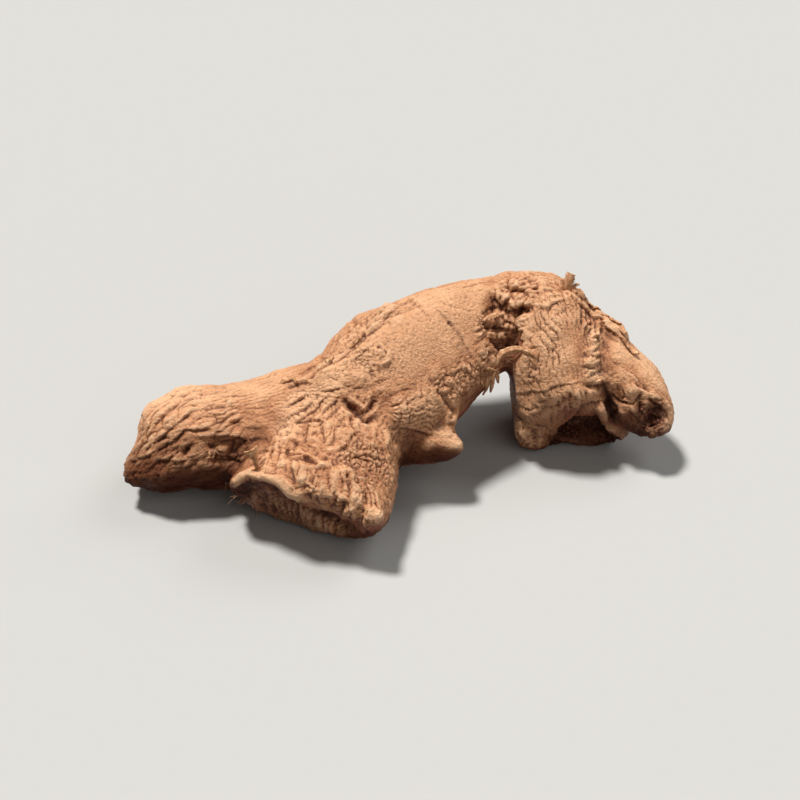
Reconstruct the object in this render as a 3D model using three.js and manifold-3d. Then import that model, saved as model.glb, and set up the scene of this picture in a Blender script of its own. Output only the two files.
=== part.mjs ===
// A dried ginger rhizome, lying as it rests on a table. Millimetres, +Z up, +X along its longest side.
// The origin is under the middle of its bounding box, on the table.
//
// The rhizome grew as one piece, so it is one solid. It is built the way it grew: a main stem with a finger on
// the left, a bud in front, two stubs where daughter fingers were broken off, and a short finger on the right.
// Each of them is a lobe, a sphere drawn out along a curved spine, and the lobes are joined and then trimmed.

import * as THREE from "three";
import { mergeVertices } from "three/addons/utils/BufferGeometryUtils.js";
import Module from "manifold-3d";

const wasm = await Module();
wasm.setup();

// ---- driving dimensions ----
const SIDES = 22; // facets round a lobe
const RING_STEP = 3.8; // about how far apart the rings of a lobe are
const CAP_RINGS = 4; // extra rings for a lobe's two round ends
const POLE_SPREAD = 0.7; // how far the rings gather at the ends: 0 not at all, 1 as on a sphere
const BOWL_RINGS = 12; // rings of the bowl that hollows a broken face
const WELD = 1e-4; // points closer than this are one
const TRIM_REACH = 60; // side of the blocks that trim a stub, larger than any lobe
const TABLE = { wide: 400, deep: 100 }; // the block under the rhizome that flattens its feet

// Each lobe has a row per station of its spine: the place, then the half width and half depth of its section.
// "across" is the way its width lies. "square" is the exponent of its section: 2 is an ellipse, more is squarer.
// "domes" are the shares of the spine in which its two ends round off.
// "broken" is the face where a daughter came off: a point on it, the way it looks, and the hollow inside its rim.
const LEFT_FINGER = {
  across: [0, 0.75, 0.66],
  square: 2.3,
  domes: [0.16, 0.1],
  stations: [
    { at: [-55.6, -33.0, 3.8], wide: 4.6, deep: 5.2 },
    { at: [-51.6, -29.8, 7.4], wide: 7.9, deep: 8.0 },
    { at: [-46.0, -26.2, 10.2], wide: 10.6, deep: 10.4 },
    { at: [-38.5, -24.9, 10.4], wide: 10.8, deep: 10.8 },
    { at: [-30.0, -23.4, 11.0], wide: 11.0, deep: 11.0 },
    { at: [-19.0, -21.6, 12.6], wide: 11.6, deep: 11.0 },
    { at: [-8.0, -18.5, 15.0], wide: 11.5, deep: 11.0 },
  ],
};

const MAIN_STEM = {
  across: [-0.5, 0.56, 0.67],
  square: 3,
  domes: [0.14, 0.12],
  stations: [
    { at: [-23.0, -25.0, 12.5], wide: 8.0, deep: 10.0 },
    { at: [-12.0, -20.6, 15.2], wide: 12.0, deep: 11.5 },
    { at: [0.0, -15.0, 19.0], wide: 14.8, deep: 12.0 },
    { at: [10.5, -7.8, 22.3], wide: 12.6, deep: 11.0 },
    { at: [20.0, -2.8, 24.8], wide: 9.4, deep: 9.0 },
    { at: [27.0, 0.2, 25.8], wide: 8.2, deep: 8.2 },
    { at: [33.5, 1.0, 25.4], wide: 7.4, deep: 7.4 },
  ],
};

const FRONT_STUB = {
  across: [0.93, -0.35, 0],
  square: 2.3,
  domes: [0.2, 0.08],
  stations: [
    { at: [-10.0, -17.0, 14.0], wide: 12.0, deep: 10.5 },
    { at: [-14.0, -28.0, 12.3], wide: 14.6, deep: 10.6 },
    { at: [-17.2, -38.0, 10.0], wide: 16.8, deep: 9.8 },
    { at: [-20.2, -47.0, 8.8], wide: 17.2, deep: 9.0 },
    { at: [-23.0, -57.0, 7.8], wide: 17.4, deep: 8.8 },
  ],
  broken: {
    at: [-19.5, -45.5, 8.5],
    looks: [-0.35, -0.91, -0.24],
    hollow: { wide: 14.0, high: 6.8, deep: 3.0 },
  },
};

const FRONT_BUD = {
  across: [0.3, -0.4, 0.85],
  square: 2,
  domes: [0.35, 0.45],
  stations: [
    { at: [-4.0, -23.5, 10.4], wide: 8.6, deep: 8.0 },
    { at: [3.0, -25.6, 11.4], wide: 6.4, deep: 6.0 },
    { at: [8.8, -28.2, 11.8], wide: 4.7, deep: 4.4 },
    { at: [13.4, -30.4, 11.6], wide: 3.8, deep: 3.6 },
  ],
};

const RIGHT_STUB = {
  across: [1, 0, 0],
  square: 2.6,
  domes: [0.22, 0.06],
  stations: [
    { at: [29.0, 3.2, 33.2], wide: 7.6, deep: 7.6 },
    { at: [30.2, 0.0, 27.5], wide: 8.4, deep: 9.6 },
    { at: [32.2, -5.0, 20.5], wide: 9.2, deep: 12.0 },
    { at: [34.0, -10.0, 13.0], wide: 9.8, deep: 12.6 },
    { at: [36.0, -12.6, 5.0], wide: 11.2, deep: 11.0 },
    { at: [37.5, -16.4, -3.0], wide: 12.0, deep: 10.0 },
  ],
  broken: {
    at: [40.0, -18.3, 6.5],
    looks: [0.02, -0.96, -0.26],
    hollow: { wide: 7.0, high: 5.2, deep: 3.0 },
  },
};

const RIGHT_FINGER = {
  across: [0.5, 0.5, 0.7],
  square: 2.3,
  domes: [0.2, 0.16],
  stations: [
    { at: [33.0, 0.0, 22.5], wide: 8.0, deep: 8.0 },
    { at: [39.8, -5.6, 19.2], wide: 7.8, deep: 8.2 },
    { at: [46.0, -10.6, 16.8], wide: 7.4, deep: 7.6 },
    { at: [50.6, -14.2, 13.6], wide: 6.8, deep: 7.0 },
    { at: [53.6, -17.2, 9.8], wide: 5.9, deep: 6.0 },
    { at: [54.8, -19.4, 5.8], wide: 4.6, deep: 5.0 },
  ],
};

const LOBES = [LEFT_FINGER, MAIN_STEM, FRONT_STUB, FRONT_BUD, RIGHT_STUB, RIGHT_FINGER];

// ---- shapes ----

// The solid that a closed geometry bounds.
function solidOf(geometry) {
  const bare = geometry.clone();
  bare.deleteAttribute("normal");
  bare.deleteAttribute("uv");
  const merged = mergeVertices(bare, WELD);
  return new wasm.Manifold(
    new wasm.Mesh({
      numProp: 3,
      vertProperties: new Float32Array(merged.getAttribute("position").array),
      triVerts: new Uint32Array(merged.index.array),
    }),
  );
}

function geometryOf(solid) {
  const { numProp, numVert, vertProperties, triVerts } = solid.getMesh();
  const places = new Float32Array(numVert * 3);
  for (let i = 0; i < numVert; i++) {
    places.set(vertProperties.subarray(i * numProp, i * numProp + 3), i * 3);
  }
  const geometry = new THREE.BufferGeometry();
  geometry.setAttribute("position", new THREE.BufferAttribute(places, 3));
  geometry.setIndex(new THREE.BufferAttribute(triVerts, 1));
  geometry.computeVertexNormals();
  return geometry;
}

// How full the section is at a share along the spine: 1 along the lobe, falling to 0 in a dome at either end.
function fullness(along, [startDome, endDome]) {
  const intoStart = Math.max(0, 1 - along / startDome);
  const intoEnd = Math.max(0, 1 - (1 - along) / endDome);
  return Math.sqrt(Math.max(0, 1 - intoStart ** 2)) * Math.sqrt(Math.max(0, 1 - intoEnd ** 2));
}

// A unit sphere whose poles become the ends of the spine and whose parallels become the sections.
function lobe({ across, square, domes, stations, broken }) {
  const spine = new THREE.CatmullRomCurve3(stations.map(({ at }) => new THREE.Vector3(...at)));
  const sizes = new THREE.CatmullRomCurve3(
    stations.map(({ wide, deep }) => new THREE.Vector3(wide, deep, 0)),
    false,
    "catmullrom",
  );
  const rings = Math.round(spine.getLength() / RING_STEP) + CAP_RINGS;
  const geometry = new THREE.SphereGeometry(1, SIDES, rings);
  const places = geometry.getAttribute("position");
  const side = new THREE.Vector3(...across);
  for (let i = 0; i < places.count; i++) {
    const unit = new THREE.Vector3().fromBufferAttribute(places, i);
    const polar = Math.acos(THREE.MathUtils.clamp(unit.y, -1, 1));
    const along = THREE.MathUtils.lerp(polar / Math.PI, (1 - Math.cos(polar)) / 2, POLE_SPREAD);
    const turn = Math.atan2(unit.z, unit.x);
    const tangent = spine.getTangent(along);
    const wideWay = side.clone().addScaledVector(tangent, -side.dot(tangent)).normalize();
    const deepWay = new THREE.Vector3().crossVectors(tangent, wideWay);
    const size = sizes.getPoint(along);
    const full = fullness(along, domes);
    const [c, s] = [Math.cos(turn), Math.sin(turn)];
    const round = (Math.abs(c) ** square + Math.abs(s) ** square) ** (-1 / square);
    const place = spine
      .getPoint(along)
      .addScaledVector(wideWay, size.x * full * round * c)
      .addScaledVector(deepWay, size.y * full * round * s);
    places.setXYZ(i, place.x, place.y, place.z);
  }
  const whole = solidOf(geometry);
  return broken ? whole.subtract(breaking(broken)) : whole;
}

// A block that takes away what lies beyond a face, with a shallow bowl that hollows the face inside its rim.
function breaking({ at, looks, hollow }) {
  const facing = new THREE.Quaternion().setFromUnitVectors(
    new THREE.Vector3(0, 0, 1),
    new THREE.Vector3(...looks).normalize(),
  );
  const place = new THREE.Matrix4().compose(new THREE.Vector3(...at), facing, new THREE.Vector3(1, 1, 1));
  const block = new THREE.BoxGeometry(TRIM_REACH, TRIM_REACH, TRIM_REACH).translate(0, 0, TRIM_REACH / 2);
  const bowl = new THREE.SphereGeometry(1, SIDES, BOWL_RINGS).scale(hollow.wide, hollow.high, hollow.deep);
  return solidOf(block.applyMatrix4(place)).add(solidOf(bowl.applyMatrix4(place)));
}

// ---- the rhizome ----

const grown = LOBES.map(lobe).reduce((whole, next) => whole.add(next));
const table = new THREE.BoxGeometry(TABLE.wide, TABLE.wide, TABLE.deep).translate(0, 0, -TABLE.deep / 2);

const shape = geometryOf(grown.subtract(solidOf(table)));
shape.computeBoundingBox();
const middle = shape.boundingBox.getCenter(new THREE.Vector3());
shape.translate(-middle.x, -middle.y, -shape.boundingBox.min.z);

const skin = new THREE.MeshStandardMaterial({ color: 0xb9855c, roughness: 0.78, metalness: 0 });
const rhizome = new THREE.Mesh(shape, skin);
rhizome.name = "ginger_rhizome";

const root = new THREE.Group();
root.add(rhizome);

export default root;
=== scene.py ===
"""A dried ginger rhizome.

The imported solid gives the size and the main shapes. This script copies it, gives the copy a fine even skin,
and sculpts that skin the way the rhizome dried: swellings and hollows, then creases and folds, then fields of
wrinkles whose size, depth and run change from place to place. Papery remnants and root fibres are pieces of
their own.

Places and lengths are millimetres in the row's frame, unless a comment says metres.
"""

import itertools
import math

import bpy
import numpy as np
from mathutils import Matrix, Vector
from mathutils.kdtree import KDTree

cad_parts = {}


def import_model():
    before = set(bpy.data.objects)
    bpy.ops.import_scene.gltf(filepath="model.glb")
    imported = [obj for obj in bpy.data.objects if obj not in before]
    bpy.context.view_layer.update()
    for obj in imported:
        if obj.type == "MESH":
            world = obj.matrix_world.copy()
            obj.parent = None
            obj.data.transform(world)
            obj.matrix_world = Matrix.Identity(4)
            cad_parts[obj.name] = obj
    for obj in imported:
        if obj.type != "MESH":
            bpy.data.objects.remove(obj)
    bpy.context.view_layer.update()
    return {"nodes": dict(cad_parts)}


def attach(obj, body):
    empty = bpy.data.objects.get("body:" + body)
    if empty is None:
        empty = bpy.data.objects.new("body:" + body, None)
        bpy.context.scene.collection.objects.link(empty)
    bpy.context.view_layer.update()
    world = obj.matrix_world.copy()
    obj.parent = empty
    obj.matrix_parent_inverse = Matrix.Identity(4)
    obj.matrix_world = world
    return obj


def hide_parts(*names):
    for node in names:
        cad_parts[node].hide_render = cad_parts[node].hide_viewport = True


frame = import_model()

MM = 0.001  # a millimetre in Blender's metres
COARSE_VOXEL = 0.9  # the skin on which the main forms are made
FINE_VOXEL = 0.21  # the skin that carries the wrinkles
MOST_TRIANGLES = 196_000
PATH_STEP = 0.5  # between the places of a path on the skin
PATH_WAVER = (2.5, 0.5)  # how long and how wide a path's small bends are
NOISE_CELLS = 32  # the random tables repeat after so many cells
ROW_POINTS = 60  # places from which the lines of a row start
LEAF_POINTS = 26  # rows of points along a papery strip
STRANDS = 9  # rows of points across it
LEAF_THICKNESS = 0.26
FIBRE_RADIUS, FIBRE_STEPS, FIBRE_SIDES = 0.11, 9, 6

# Seeds of the random draws that don't number themselves.
PATH_SEED, PATCH_SEED, UNEVEN_SEED, FIBRE_SEED = 90, 91, 60, 7

# ---------------------------------------------------------------- places

# The middle line of each lobe and its radius. Wrinkles run along these lines.
LOBES = {
    "finger": ([(-55, -12, 4), (-46, -5, 10), (-30, -2, 11), (-12, 2, 15)], 10.5),
    "stem": ([(-18, -1, 13), (-1, 7, 19), (19, 18, 25)], 11),
    "front": ([(-12, 2, 13), (-17, -13, 10), (-21, -29, 8)], 12),
    "bud": ([(3, -3, 12), (9, -7, 12), (13, -9, 11.5)], 5.5),
    "right": ([(28, 22, 33), (31, 16, 22), (34, 11, 13), (37, 6, 0)], 11.5),
    "short": ([(38, 17, 20.5), (46, 11, 17), (53, 5, 10), (54.5, 2, 5)], 6.5),
}

# Two paths that more than one table uses.
PUFFED_PATCH = [(0.5, -7.5, 21), (4.5, -5.5, 21)]
TORN_FISSURE = [(-12, -7, 23.5), (-9.5, -8.5, 22.5), (-8, -10.5, 21.5), (-6, -9.5, 21)]

# Main forms, in order: a path over the skin, how far the form reaches from it, and how high it stands (below
# 0: how deep it sinks).
FORMS = {
    "slant of the finger's end": ([(-55.5, -8.5, 13), (-56.5, -4.5, 10)], 6.0, -1.3),
    "tip of the finger": ([(-57.5, -14, 7)], 4.0, 1.6),
    "top of the finger's end": ([(-47.5, 1.5, 19), (-44.5, 2.5, 20)], 5.0, 1.0),
    "bulge along the finger": ([(-52.5, -16.5, 9), (-46.5, -13.5, 12)], 4.0, 0.7),
    "hollow under the finger's fold": ([(-41.5, -13, 16), (-36.5, -13.5, 15)], 4.5, -0.7),
    "side of the finger beside the stub": ([(-34.5, -12.5, 15), (-36.5, -15.5, 10)], 4.0, -0.8),
    "waist of the front stub": ([(-22.5, -18, 19.5), (-14.5, -20.5, 19), (-8.5, -20.5, 18)], 3.0, -0.8),
    "collar over the front break": ([(-26.5, -20, 18), (-20.5, -22.5, 19), (-14.5, -24.5, 18)], 3.0, 0.8),
    "skin that hangs over the right of the break": (
        [(-18, -24, 14), (-14, -25, 13.5), (-10, -26.5, 12.5)], 4.5, 3.0),
    "rim of the front break": (
        [(-34, -20, 12.5), (-31.5, -21.5, 16.5), (-28, -23.5, 17.5), (-24.5, -25.5, 17), (-21.5, -25.5, 15)],
        2.3, 2.3),
    "right half of the rim": ([(-21.5, -25, 15), (-18, -25.5, 13.5), (-14.5, -26, 12)], 2.2, 1.1),
    "left end of the rim": ([(-35, -18.5, 8), (-34.5, -19.5, 11)], 2.0, 1.2),
    "corner of the front stub": ([(-8, -28.5, 9), (-5.5, -30, 12)], 3.0, 1.2),
    "corner knob of the front stub": ([(-4.8, -29.8, 12.5)], 1.8, 1.3),
    "first bulge of the collar": ([(-24.5, -21, 18)], 2.2, 1.0),
    "second bulge of the collar": ([(-21.5, -22.5, 18.5)], 1.8, 1.1),
    "third bulge of the collar": ([(-19.5, -25, 18)], 1.8, 0.9),
    "fourth bulge of the collar": ([(-15.5, -21, 19)], 2.2, 0.9),
    "recess between the bulges": ([(-18, -23.5, 18.5), (-15, -25, 18)], 2.2, -0.6),
    "dark spot by the corner": ([(-10.5, -25, 17.8)], 1.6, -0.6),
    "dark band below the rim": (
        [(-33, -19.5, 9.5), (-30.5, -20.5, 12.5), (-27.5, -21.5, 12.5), (-24.5, -21.5, 10),
         (-21.5, -21.5, 8.5), (-17.5, -22.5, 7), (-14, -24, 7)], 2.8, -1.1),
    "filled break of the front stub": ([(-29, -19.5, 6), (-24, -20.5, 5), (-18.5, -22.5, 4.5)], 4.5, 1.2),
    "lower lip of the front break": ([(-31.5, -17.5, 3), (-21.5, -20.5, 2), (-12.5, -25.5, 3)], 3.0, 0.2),
    "knob above the bud": ([(9.5, -4.5, 17)], 2.6, 1.5),
    "tip of the bud": ([(12.5, -10, 13.5)], 2.4, 0.9),
    "dip beside the bud": ([(2.5, -9.5, 14)], 3.4, -1.0),
    "puffed patch beside the bud": (PUFFED_PATCH, 5.5, 0.9),
    "bump on the stem's upper edge": ([(-3.5, 11, 34)], 2.6, 2.0),
    "dip beyond that bump": ([(1.5, 12, 35)], 2.6, -0.8),
    "flat above the stem's bump": ([(-8.5, 6.5, 30), (-11.5, 3.5, 28)], 5.0, -0.6),
    "hollow of the neck": ([(19.5, 12.5, 32), (20.5, 8, 26)], 4.0, -2.0),
    "hollow beside the wall of the neck": ([(23.5, 13.5, 30.5), (24, 9.5, 25)], 2.6, -1.6),
    "roll over the neck": ([(22.5, 17.5, 34), (29.5, 17.5, 33.5)], 4.0, 0.8),
    "wall of the right stub": ([(26, 11, 29.5), (26, 8, 26.5), (25.5, 5.5, 23), (25, 4, 14.5)], 2.6, 0.9),
    "crest of the right stub": ([(35, 17, 33), (40, 16.5, 28.5), (45, 15, 25)], 2.2, 1.0),
    "dip behind the pleats": ([(42.5, 9.5, 25), (43.5, 5.5, 21)], 3.0, -0.9),
    "shelf under the pleats": ([(38.5, 3.5, 21.5), (40.5, 4, 20.5), (42.5, 4.5, 20)], 1.8, 1.1),
    "block under the shelf": ([(40, 2, 18.5)], 2.0, 0.9),
    "skirt of the right stub": ([(27.5, 2.5, 12), (31, 1.5, 14), (36, 1, 17.5)], 4.0, 0.9),
    "left foot of the right stub": ([(25.5, 3.5, 6), (28.5, 3.5, 3)], 4.2, 1.7),
    "break under the skirt": ([(37, 3.5, 6), (42.5, 3.5, 8)], 5.0, -2.0),
    "fin of the right stub": ([(42, 2, 14.5), (44, 2.5, 11), (46.5, 4, 7), (47.5, 5.5, 4)], 2.4, 2.6),
    "dent in the short finger": ([(45, 3, 19), (45.5, 2, 13)], 2.0, -0.6),
    "undercut of the short finger": ([(46.5, 3, 17), (50.5, 1, 15.5), (52, -0.5, 12)], 2.6, -0.4),
    "first lump of the short finger": ([(48, 2.5, 18)], 2.0, 1.0),
    "second lump of the short finger": ([(46.5, 1, 13.5)], 2.4, 1.0),
    "third lump of the short finger": ([(50.5, 1, 14)], 1.8, 0.9),
    "edge of the crest": ([(37, 18.5, 32), (41, 17.5, 28.5), (44.5, 15, 26.5), (47, 12.5, 25)], 1.8, 1.9),
    "first bud scar of the back": ([(3, 20, 20)], 3.2, -1.0),
    "second bud scar of the back": ([(-30, 4, 14)], 2.8, -0.9),
    "shoulder of the back": ([(-12, 12, 24), (-4, 17, 24)], 6.0, 1.2),
    "waist of the back": ([(-18, 9, 20), (-19, 9, 11)], 5.0, -1.0),
    "swelling of the stub's back": ([(30, 28, 26), (34, 26, 16)], 6.0, 1.0),
    "waist of the stub's back": ([(34, 24, 8), (40, 20, 8)], 4.0, -0.9),
    "lump at the short finger's end": ([(53.5, -1.5, 10), (55, -0.5, 10.5)], 3.2, 1.2),
    "crater in the short finger's end": ([(54, 0, 14), (53.5, -0.5, 12.5)], 2.6, -1.0),
}

# Single grooves, ridges and lips: a kind, a path, a reach to each side and a height or depth. A lip stands
# over the skin on its right-hand side, seen from outside along the path.
LINES = {
    "ring round the finger": (
        "ridge", [(-36.5, -0.5, 21.5), (-36, -4.5, 21.5), (-36.5, -6.5, 21), (-36, -11, 18)], 0.5, 0.25),
    "first finger fold": (
        "lip", [(-56, -10.5, 14.5), (-53, -8, 18), (-50.5, -4.5, 19.5), (-48, -3, 21)], 0.8, 0.6),
    "second finger fold": (
        "lip", [(-54, -12.5, 14), (-50.5, -11, 17), (-47, -9.5, 19.5), (-43.5, -7, 21), (-40, -6.5, 21)],
        0.9, 0.9),
    "third finger fold": (
        "lip", [(-57.5, -11.5, 10.5), (-52.5, -13, 14), (-48, -12, 17), (-45, -10.5, 19), (-39, -10, 19)],
        1.0, 0.9),
    "fourth finger fold": (
        "lip", [(-52.5, -9.5, 17.5), (-49.5, -6.5, 20), (-46.5, -4, 21), (-43.5, -3, 21.5)], 0.7, 0.6),
    "dark finger fold": (
        "lip",
        [(-43.5, -12, 17.5), (-39, -11.5, 18), (-35.5, -11.5, 17.5), (-31.5, -11.5, 17), (-28, -13, 18.5)],
        1.2, 0.7),
    "low finger fold": (
        "lip", [(-53.5, -14.5, 11), (-50.5, -14, 13.5), (-46.5, -14.5, 13.5), (-44, -14.5, 13.5)], 1.1,
        0.9),
    "fold below the top of the finger": (
        "lip", [(-43, -9, 20), (-40, -7.5, 20.5), (-36.5, -7, 20.5), (-33, -6, 21.5)], 0.8, 0.5),
    "pit in the finger": ("groove", [(-46.5, -13.5, 15), (-44, -13, 16)], 1.1, 1.3),
    "short fold by the ring": ("lip", [(-42, -6.5, 21), (-39.5, -5.5, 21.5), (-37, -5.5, 21.5)], 0.7, 0.4),
    "fold right of the ring": ("lip", [(-34.5, -9.5, 19.5), (-31, -9.5, 19), (-28, -10, 19)], 0.8, 0.4),
    "scratch off the ring": (
        "ridge", [(-36.5, -6.5, 21), (-35.5, -4.5, 21.5), (-33.5, -4.5, 22)], 0.7, 0.5),
    "bud scar": (
        "groove",
        [(-42, -13.5, 15.5), (-40, -13, 16), (-38, -13.5, 15), (-38.5, -14.5, 13), (-41, -14.5, 13)], 1.0,
        0.9),
    "finger meets front stub": (
        "groove", [(-24.5, -9.5, 20.5), (-29, -17, 17.5), (-32.5, -19.5, 15.5), (-35.5, -19.5, 12)], 1.6,
        0.8),
    "crack under the flap": ("lip", [(-24, -2.5, 23.5), (-21.5, -1.5, 24), (-19, -3, 25)], 1.2, 1.1),
    "crease beyond the crack": ("lip", [(-17.5, -5, 24.5), (-15, -5.5, 25), (-12, -5, 25.5)], 0.9, 0.6),
    "smooth bump": ("ridge", [(-16.5, -1, 26.5)], 2.6, 0.7),
    "first ridge of the stem's edge": (
        "lip", [(-13, 2, 29.5), (-9, 4, 31.5), (-5, 7, 33.5), (-1, 11.5, 34)], 1.2, 0.8),
    "second ridge of the stem's edge": ("lip", [(-15, 0, 28), (-12, 2, 30), (-10, 3, 31)], 1.0, 0.7),
    "third ridge of the stem's edge": ("lip", [(-12, -0.5, 29), (-8, 1, 30.5), (-6, 2.5, 31.5)], 0.9, 0.6),
    "flat scale on the stem": ("ridge", [(-2.5, 6.5, 33.5), (0.5, 9, 34.5)], 1.6, 0.35),
    "edge of the flat on the stem": (
        "lip", [(4.5, 11, 35), (8, 9.5, 34), (11.5, 7, 31), (14.5, 4.5, 27.5), (16, 3, 25)], 1.0, 0.35),
    "crease across the flat": ("groove", [(7.5, 12, 34.5), (11, 11.5, 34), (15, 11.5, 32.5)], 0.7, 0.3),
    "edge folds": ("groove", [(-21, -2, 24), (-18, -1.5, 25.5), (-15, 0, 27.5), (-12.5, 1, 29)], 0.9, 0.5),
    "first slanting fold": ("lip", [(-24, -6.5, 21.8), (-21.5, -5.5, 22.5), (-19.5, -4.5, 23)], 0.8, 0.9),
    "second slanting fold": (
        "lip", [(-24.5, -9.5, 20.5), (-22, -8.5, 21.5), (-19.5, -7.5, 22), (-18, -6, 23.5)], 0.9, 1.0),
    "third slanting fold": (
        "lip", [(-22, -11, 20.8), (-20.5, -10, 21.5), (-17.5, -8, 23), (-15.5, -6, 24.5)], 0.8, 0.9),
    "fourth slanting fold": ("lip", [(-17.5, -10, 22), (-14.5, -7.5, 23.5), (-13, -6, 24.5)], 0.8, 0.8),
    "long junction crease": (
        "groove",
        [(-25.5, -9.5, 20), (-22, -11, 21), (-17.5, -11, 22), (-16, -11.5, 22), (-13, -8.5, 23),
         (-12, -7, 23.5)], 0.6, 0.7),
    "torn fissure": ("groove", TORN_FISSURE, 1.2, 2.6),
    "upper branch of the fissure": ("groove", [(-8.5, -9, 22), (-7, -7.5, 22.5), (-6, -6, 23.5)], 0.9, 2.0),
    "lower branch of the fissure": (
        "groove", [(-10.5, -8, 22.5), (-10, -10, 22), (-11, -11.5, 22)], 1.0, 1.2),
    "crease over the crinkles": (
        "groove", [(-16, -18.5, 20), (-14.5, -19, 19.5), (-12, -17.5, 20), (-11, -16, 20.5)], 0.6, 0.8),
    "crease below the fissure": ("groove", [(-8.5, -13.5, 21), (-10, -15, 20.5), (-11, -17, 20)], 0.6, 0.7),
    "fold beside the smooth dip": ("ridge", [(-4, -11, 19), (-3.5, -13, 18), (-4, -15, 18)], 0.9, 0.6),
    "collar pocket": (
        "lip", [(-22, -19.5, 19), (-19.5, -19, 19), (-18, -20, 19), (-16.5, -22, 19)], 1.5, 1.5),
    "second collar pocket": (
        "lip", [(-17.5, -22.5, 18.5), (-16, -22.5, 18.5), (-14.5, -22.5, 18.5)], 1.2, 1.2),
    "third collar pocket": ("lip", [(-13.5, -23.5, 18), (-11, -23.5, 18), (-9.5, -24.5, 17.5)], 1.1, 0.8),
    "edge of the puffed patch": (
        "groove", [(6, -3.5, 24), (7.5, -3.5, 22), (9.5, -3.5, 18), (10.5, -6.5, 15)], 1.0, 1.0),
    "crease under the puffed patch": (
        "lip", [(-1.5, -10.5, 19), (2.5, -9.5, 17.5), (6.5, -8.5, 16)], 1.2, 0.7),
    "stem crack": ("groove", [(9, 8, 32.5), (10.5, 7.5, 31.5)], 0.6, 0.7),
    "crease off the bump": ("groove", [(-2, 11, 33), (1.5, 14.5, 33), (5.5, 8, 33)], 0.8, 0.4),
    "scar on the stem": (
        "ridge",
        [(-7, 1, 30.5), (-5, 2, 31.5), (-3, 1, 30.5), (-3, -0.5, 29.5), (-4.5, -1.5, 28.5), (-6.5, -1, 29)],
        0.6, 0.6),
    "scar's middle": ("lip", [(-3.5, 0, 29.8), (-4, 1.3, 30.8), (-5.8, 1.2, 31)], 0.9, 1.2),
    "pocket at the top of the neck": (
        "lip", [(19.5, 16, 33.5), (20.5, 15, 33), (21.5, 14.5, 32.5)], 1.4, 1.7),
    "ledge of the neck": (
        "lip", [(20.5, 16, 33.5), (22, 15.5, 33), (23.5, 14.5, 32), (25.5, 15, 31.5), (27.5, 13, 32)], 1.8,
        1.6),
    "ledge above it": (
        "lip", [(21.5, 17.5, 34), (23.5, 17.5, 33.5), (25, 17.5, 33.5), (27, 16.5, 32.5)], 1.3, 1.0),
    "first pit of the neck": ("groove", [(25.5, 13, 31), (27, 13, 32)], 1.4, 1.8),
    "second pit of the neck": ("groove", [(17.5, 10, 30.5), (21, 10.5, 29)], 1.2, 1.7),
    "third pit of the neck": ("groove", [(17.5, 6.5, 27), (18.5, 6.5, 25.5), (18, 5.5, 24.5)], 1.3, 1.7),
    "fourth pit of the neck": ("groove", [(21.5, 8.5, 25.5), (23.5, 10, 23.5), (25, 8, 25)], 1.6, 1.5),
    "wall of the neck": ("lip", [(25, 7.5, 24), (25.5, 8.5, 26), (26, 10, 28.5), (26, 12.5, 31)], 1.4, 0.6),
    "long crease to the crest": (
        "lip", [(26.5, 13.5, 32), (30.5, 13, 32.5), (32.5, 14, 33), (34.5, 15.5, 33)], 1.2, 0.8),
    "crease below it": ("groove", [(30.5, 12, 32), (32.5, 11.5, 31.5), (35, 13.5, 32)], 0.7, 0.5),
    "crack along the crest": (
        "lip",
        [(35, 17, 33), (36.5, 16.5, 31.5), (39, 16.5, 29), (42, 15.5, 27), (45, 13, 26), (47, 11.5, 25)],
        1.0, 1.1),
    "ring crease": (
        "lip", [(24.5, 6, 15), (27, 2, 18.5), (31, 1.5, 20), (34, 1.5, 21), (36.5, 2, 21), (38, 3, 21)],
        0.7, 0.5),
    "first ring of the back": (
        "groove", [(-9, 8, 31), (-10, 15, 25), (-10, 17, 15), (-8, 12, 8)], 1.0, 0.8),
    "second ring of the back": ("lip", [(8, 17, 34), (6, 22, 27), (5, 23, 18), (6, 18, 12)], 1.0, 0.7),
    "third ring of the back": ("groove", [(20, 24, 34), (18, 29, 27), (19, 28, 18)], 1.0, 0.7),
    "ring round the first bud scar": (
        "ridge", [(0.5, 20, 21), (3, 21, 23), (5.5, 22, 20), (3.5, 21, 17), (1, 19, 18), (0.5, 20, 21)],
        0.8, 0.5),
    "ring round the second bud scar": (
        "ridge", [(-32, 3, 15.5), (-30, 4, 17), (-28, 5, 14.5), (-29.5, 4, 12), (-32, 3, 13)], 0.8, 0.4),
    "crease down the stub's back": ("groove", [(28, 31, 30), (30, 31, 22), (33, 27, 12)], 1.0, 0.7),
    "ring of the stub's back": ("lip", [(26, 26, 14), (33, 28, 13), (41, 22, 12), (43, 15, 13)], 1.0, 0.8),
    "crease round the short finger": ("groove", [(45, 17, 24), (46, 20, 18), (46, 16, 12)], 1.1, 1.0),
    "slanting crease of the skirt": (
        "groove", [(27.5, 2, 12), (30, 0.5, 14.5), (33, 0, 17), (36, 1, 18)], 0.9, 0.8),
    "lip of the cut": (
        "lip",
        [(30, 4.5, 1), (33, 4, 5.5), (34.5, 3, 8.5), (36, 1.5, 11.5), (38, 0.5, 16), (40, 1.5, 16.5),
         (42, 3.5, 15)], 1.3, 1.7),
    "crease under the shelf": ("groove", [(38, 2.5, 20), (40.5, 3.5, 19), (43, 4, 18.5)], 0.9, 1.2),
    "groove beside the fin": ("groove", [(41, 2, 14), (42.5, 3, 10), (44.5, 4.5, 6)], 1.1, 1.3),
    "fold of the foot": ("groove", [(26, 3, 9), (28, 3.5, 7), (28.5, 4, 2.5)], 0.9, 0.8),
    "upper crease of the short finger": (
        "lip", [(51, 3, 19.5), (49.6, 4.2, 20.6), (48.2, 5, 21.6), (47, 5.5, 22.2)], 0.7, 1.0),
    "lower crease of the short finger": (
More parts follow.
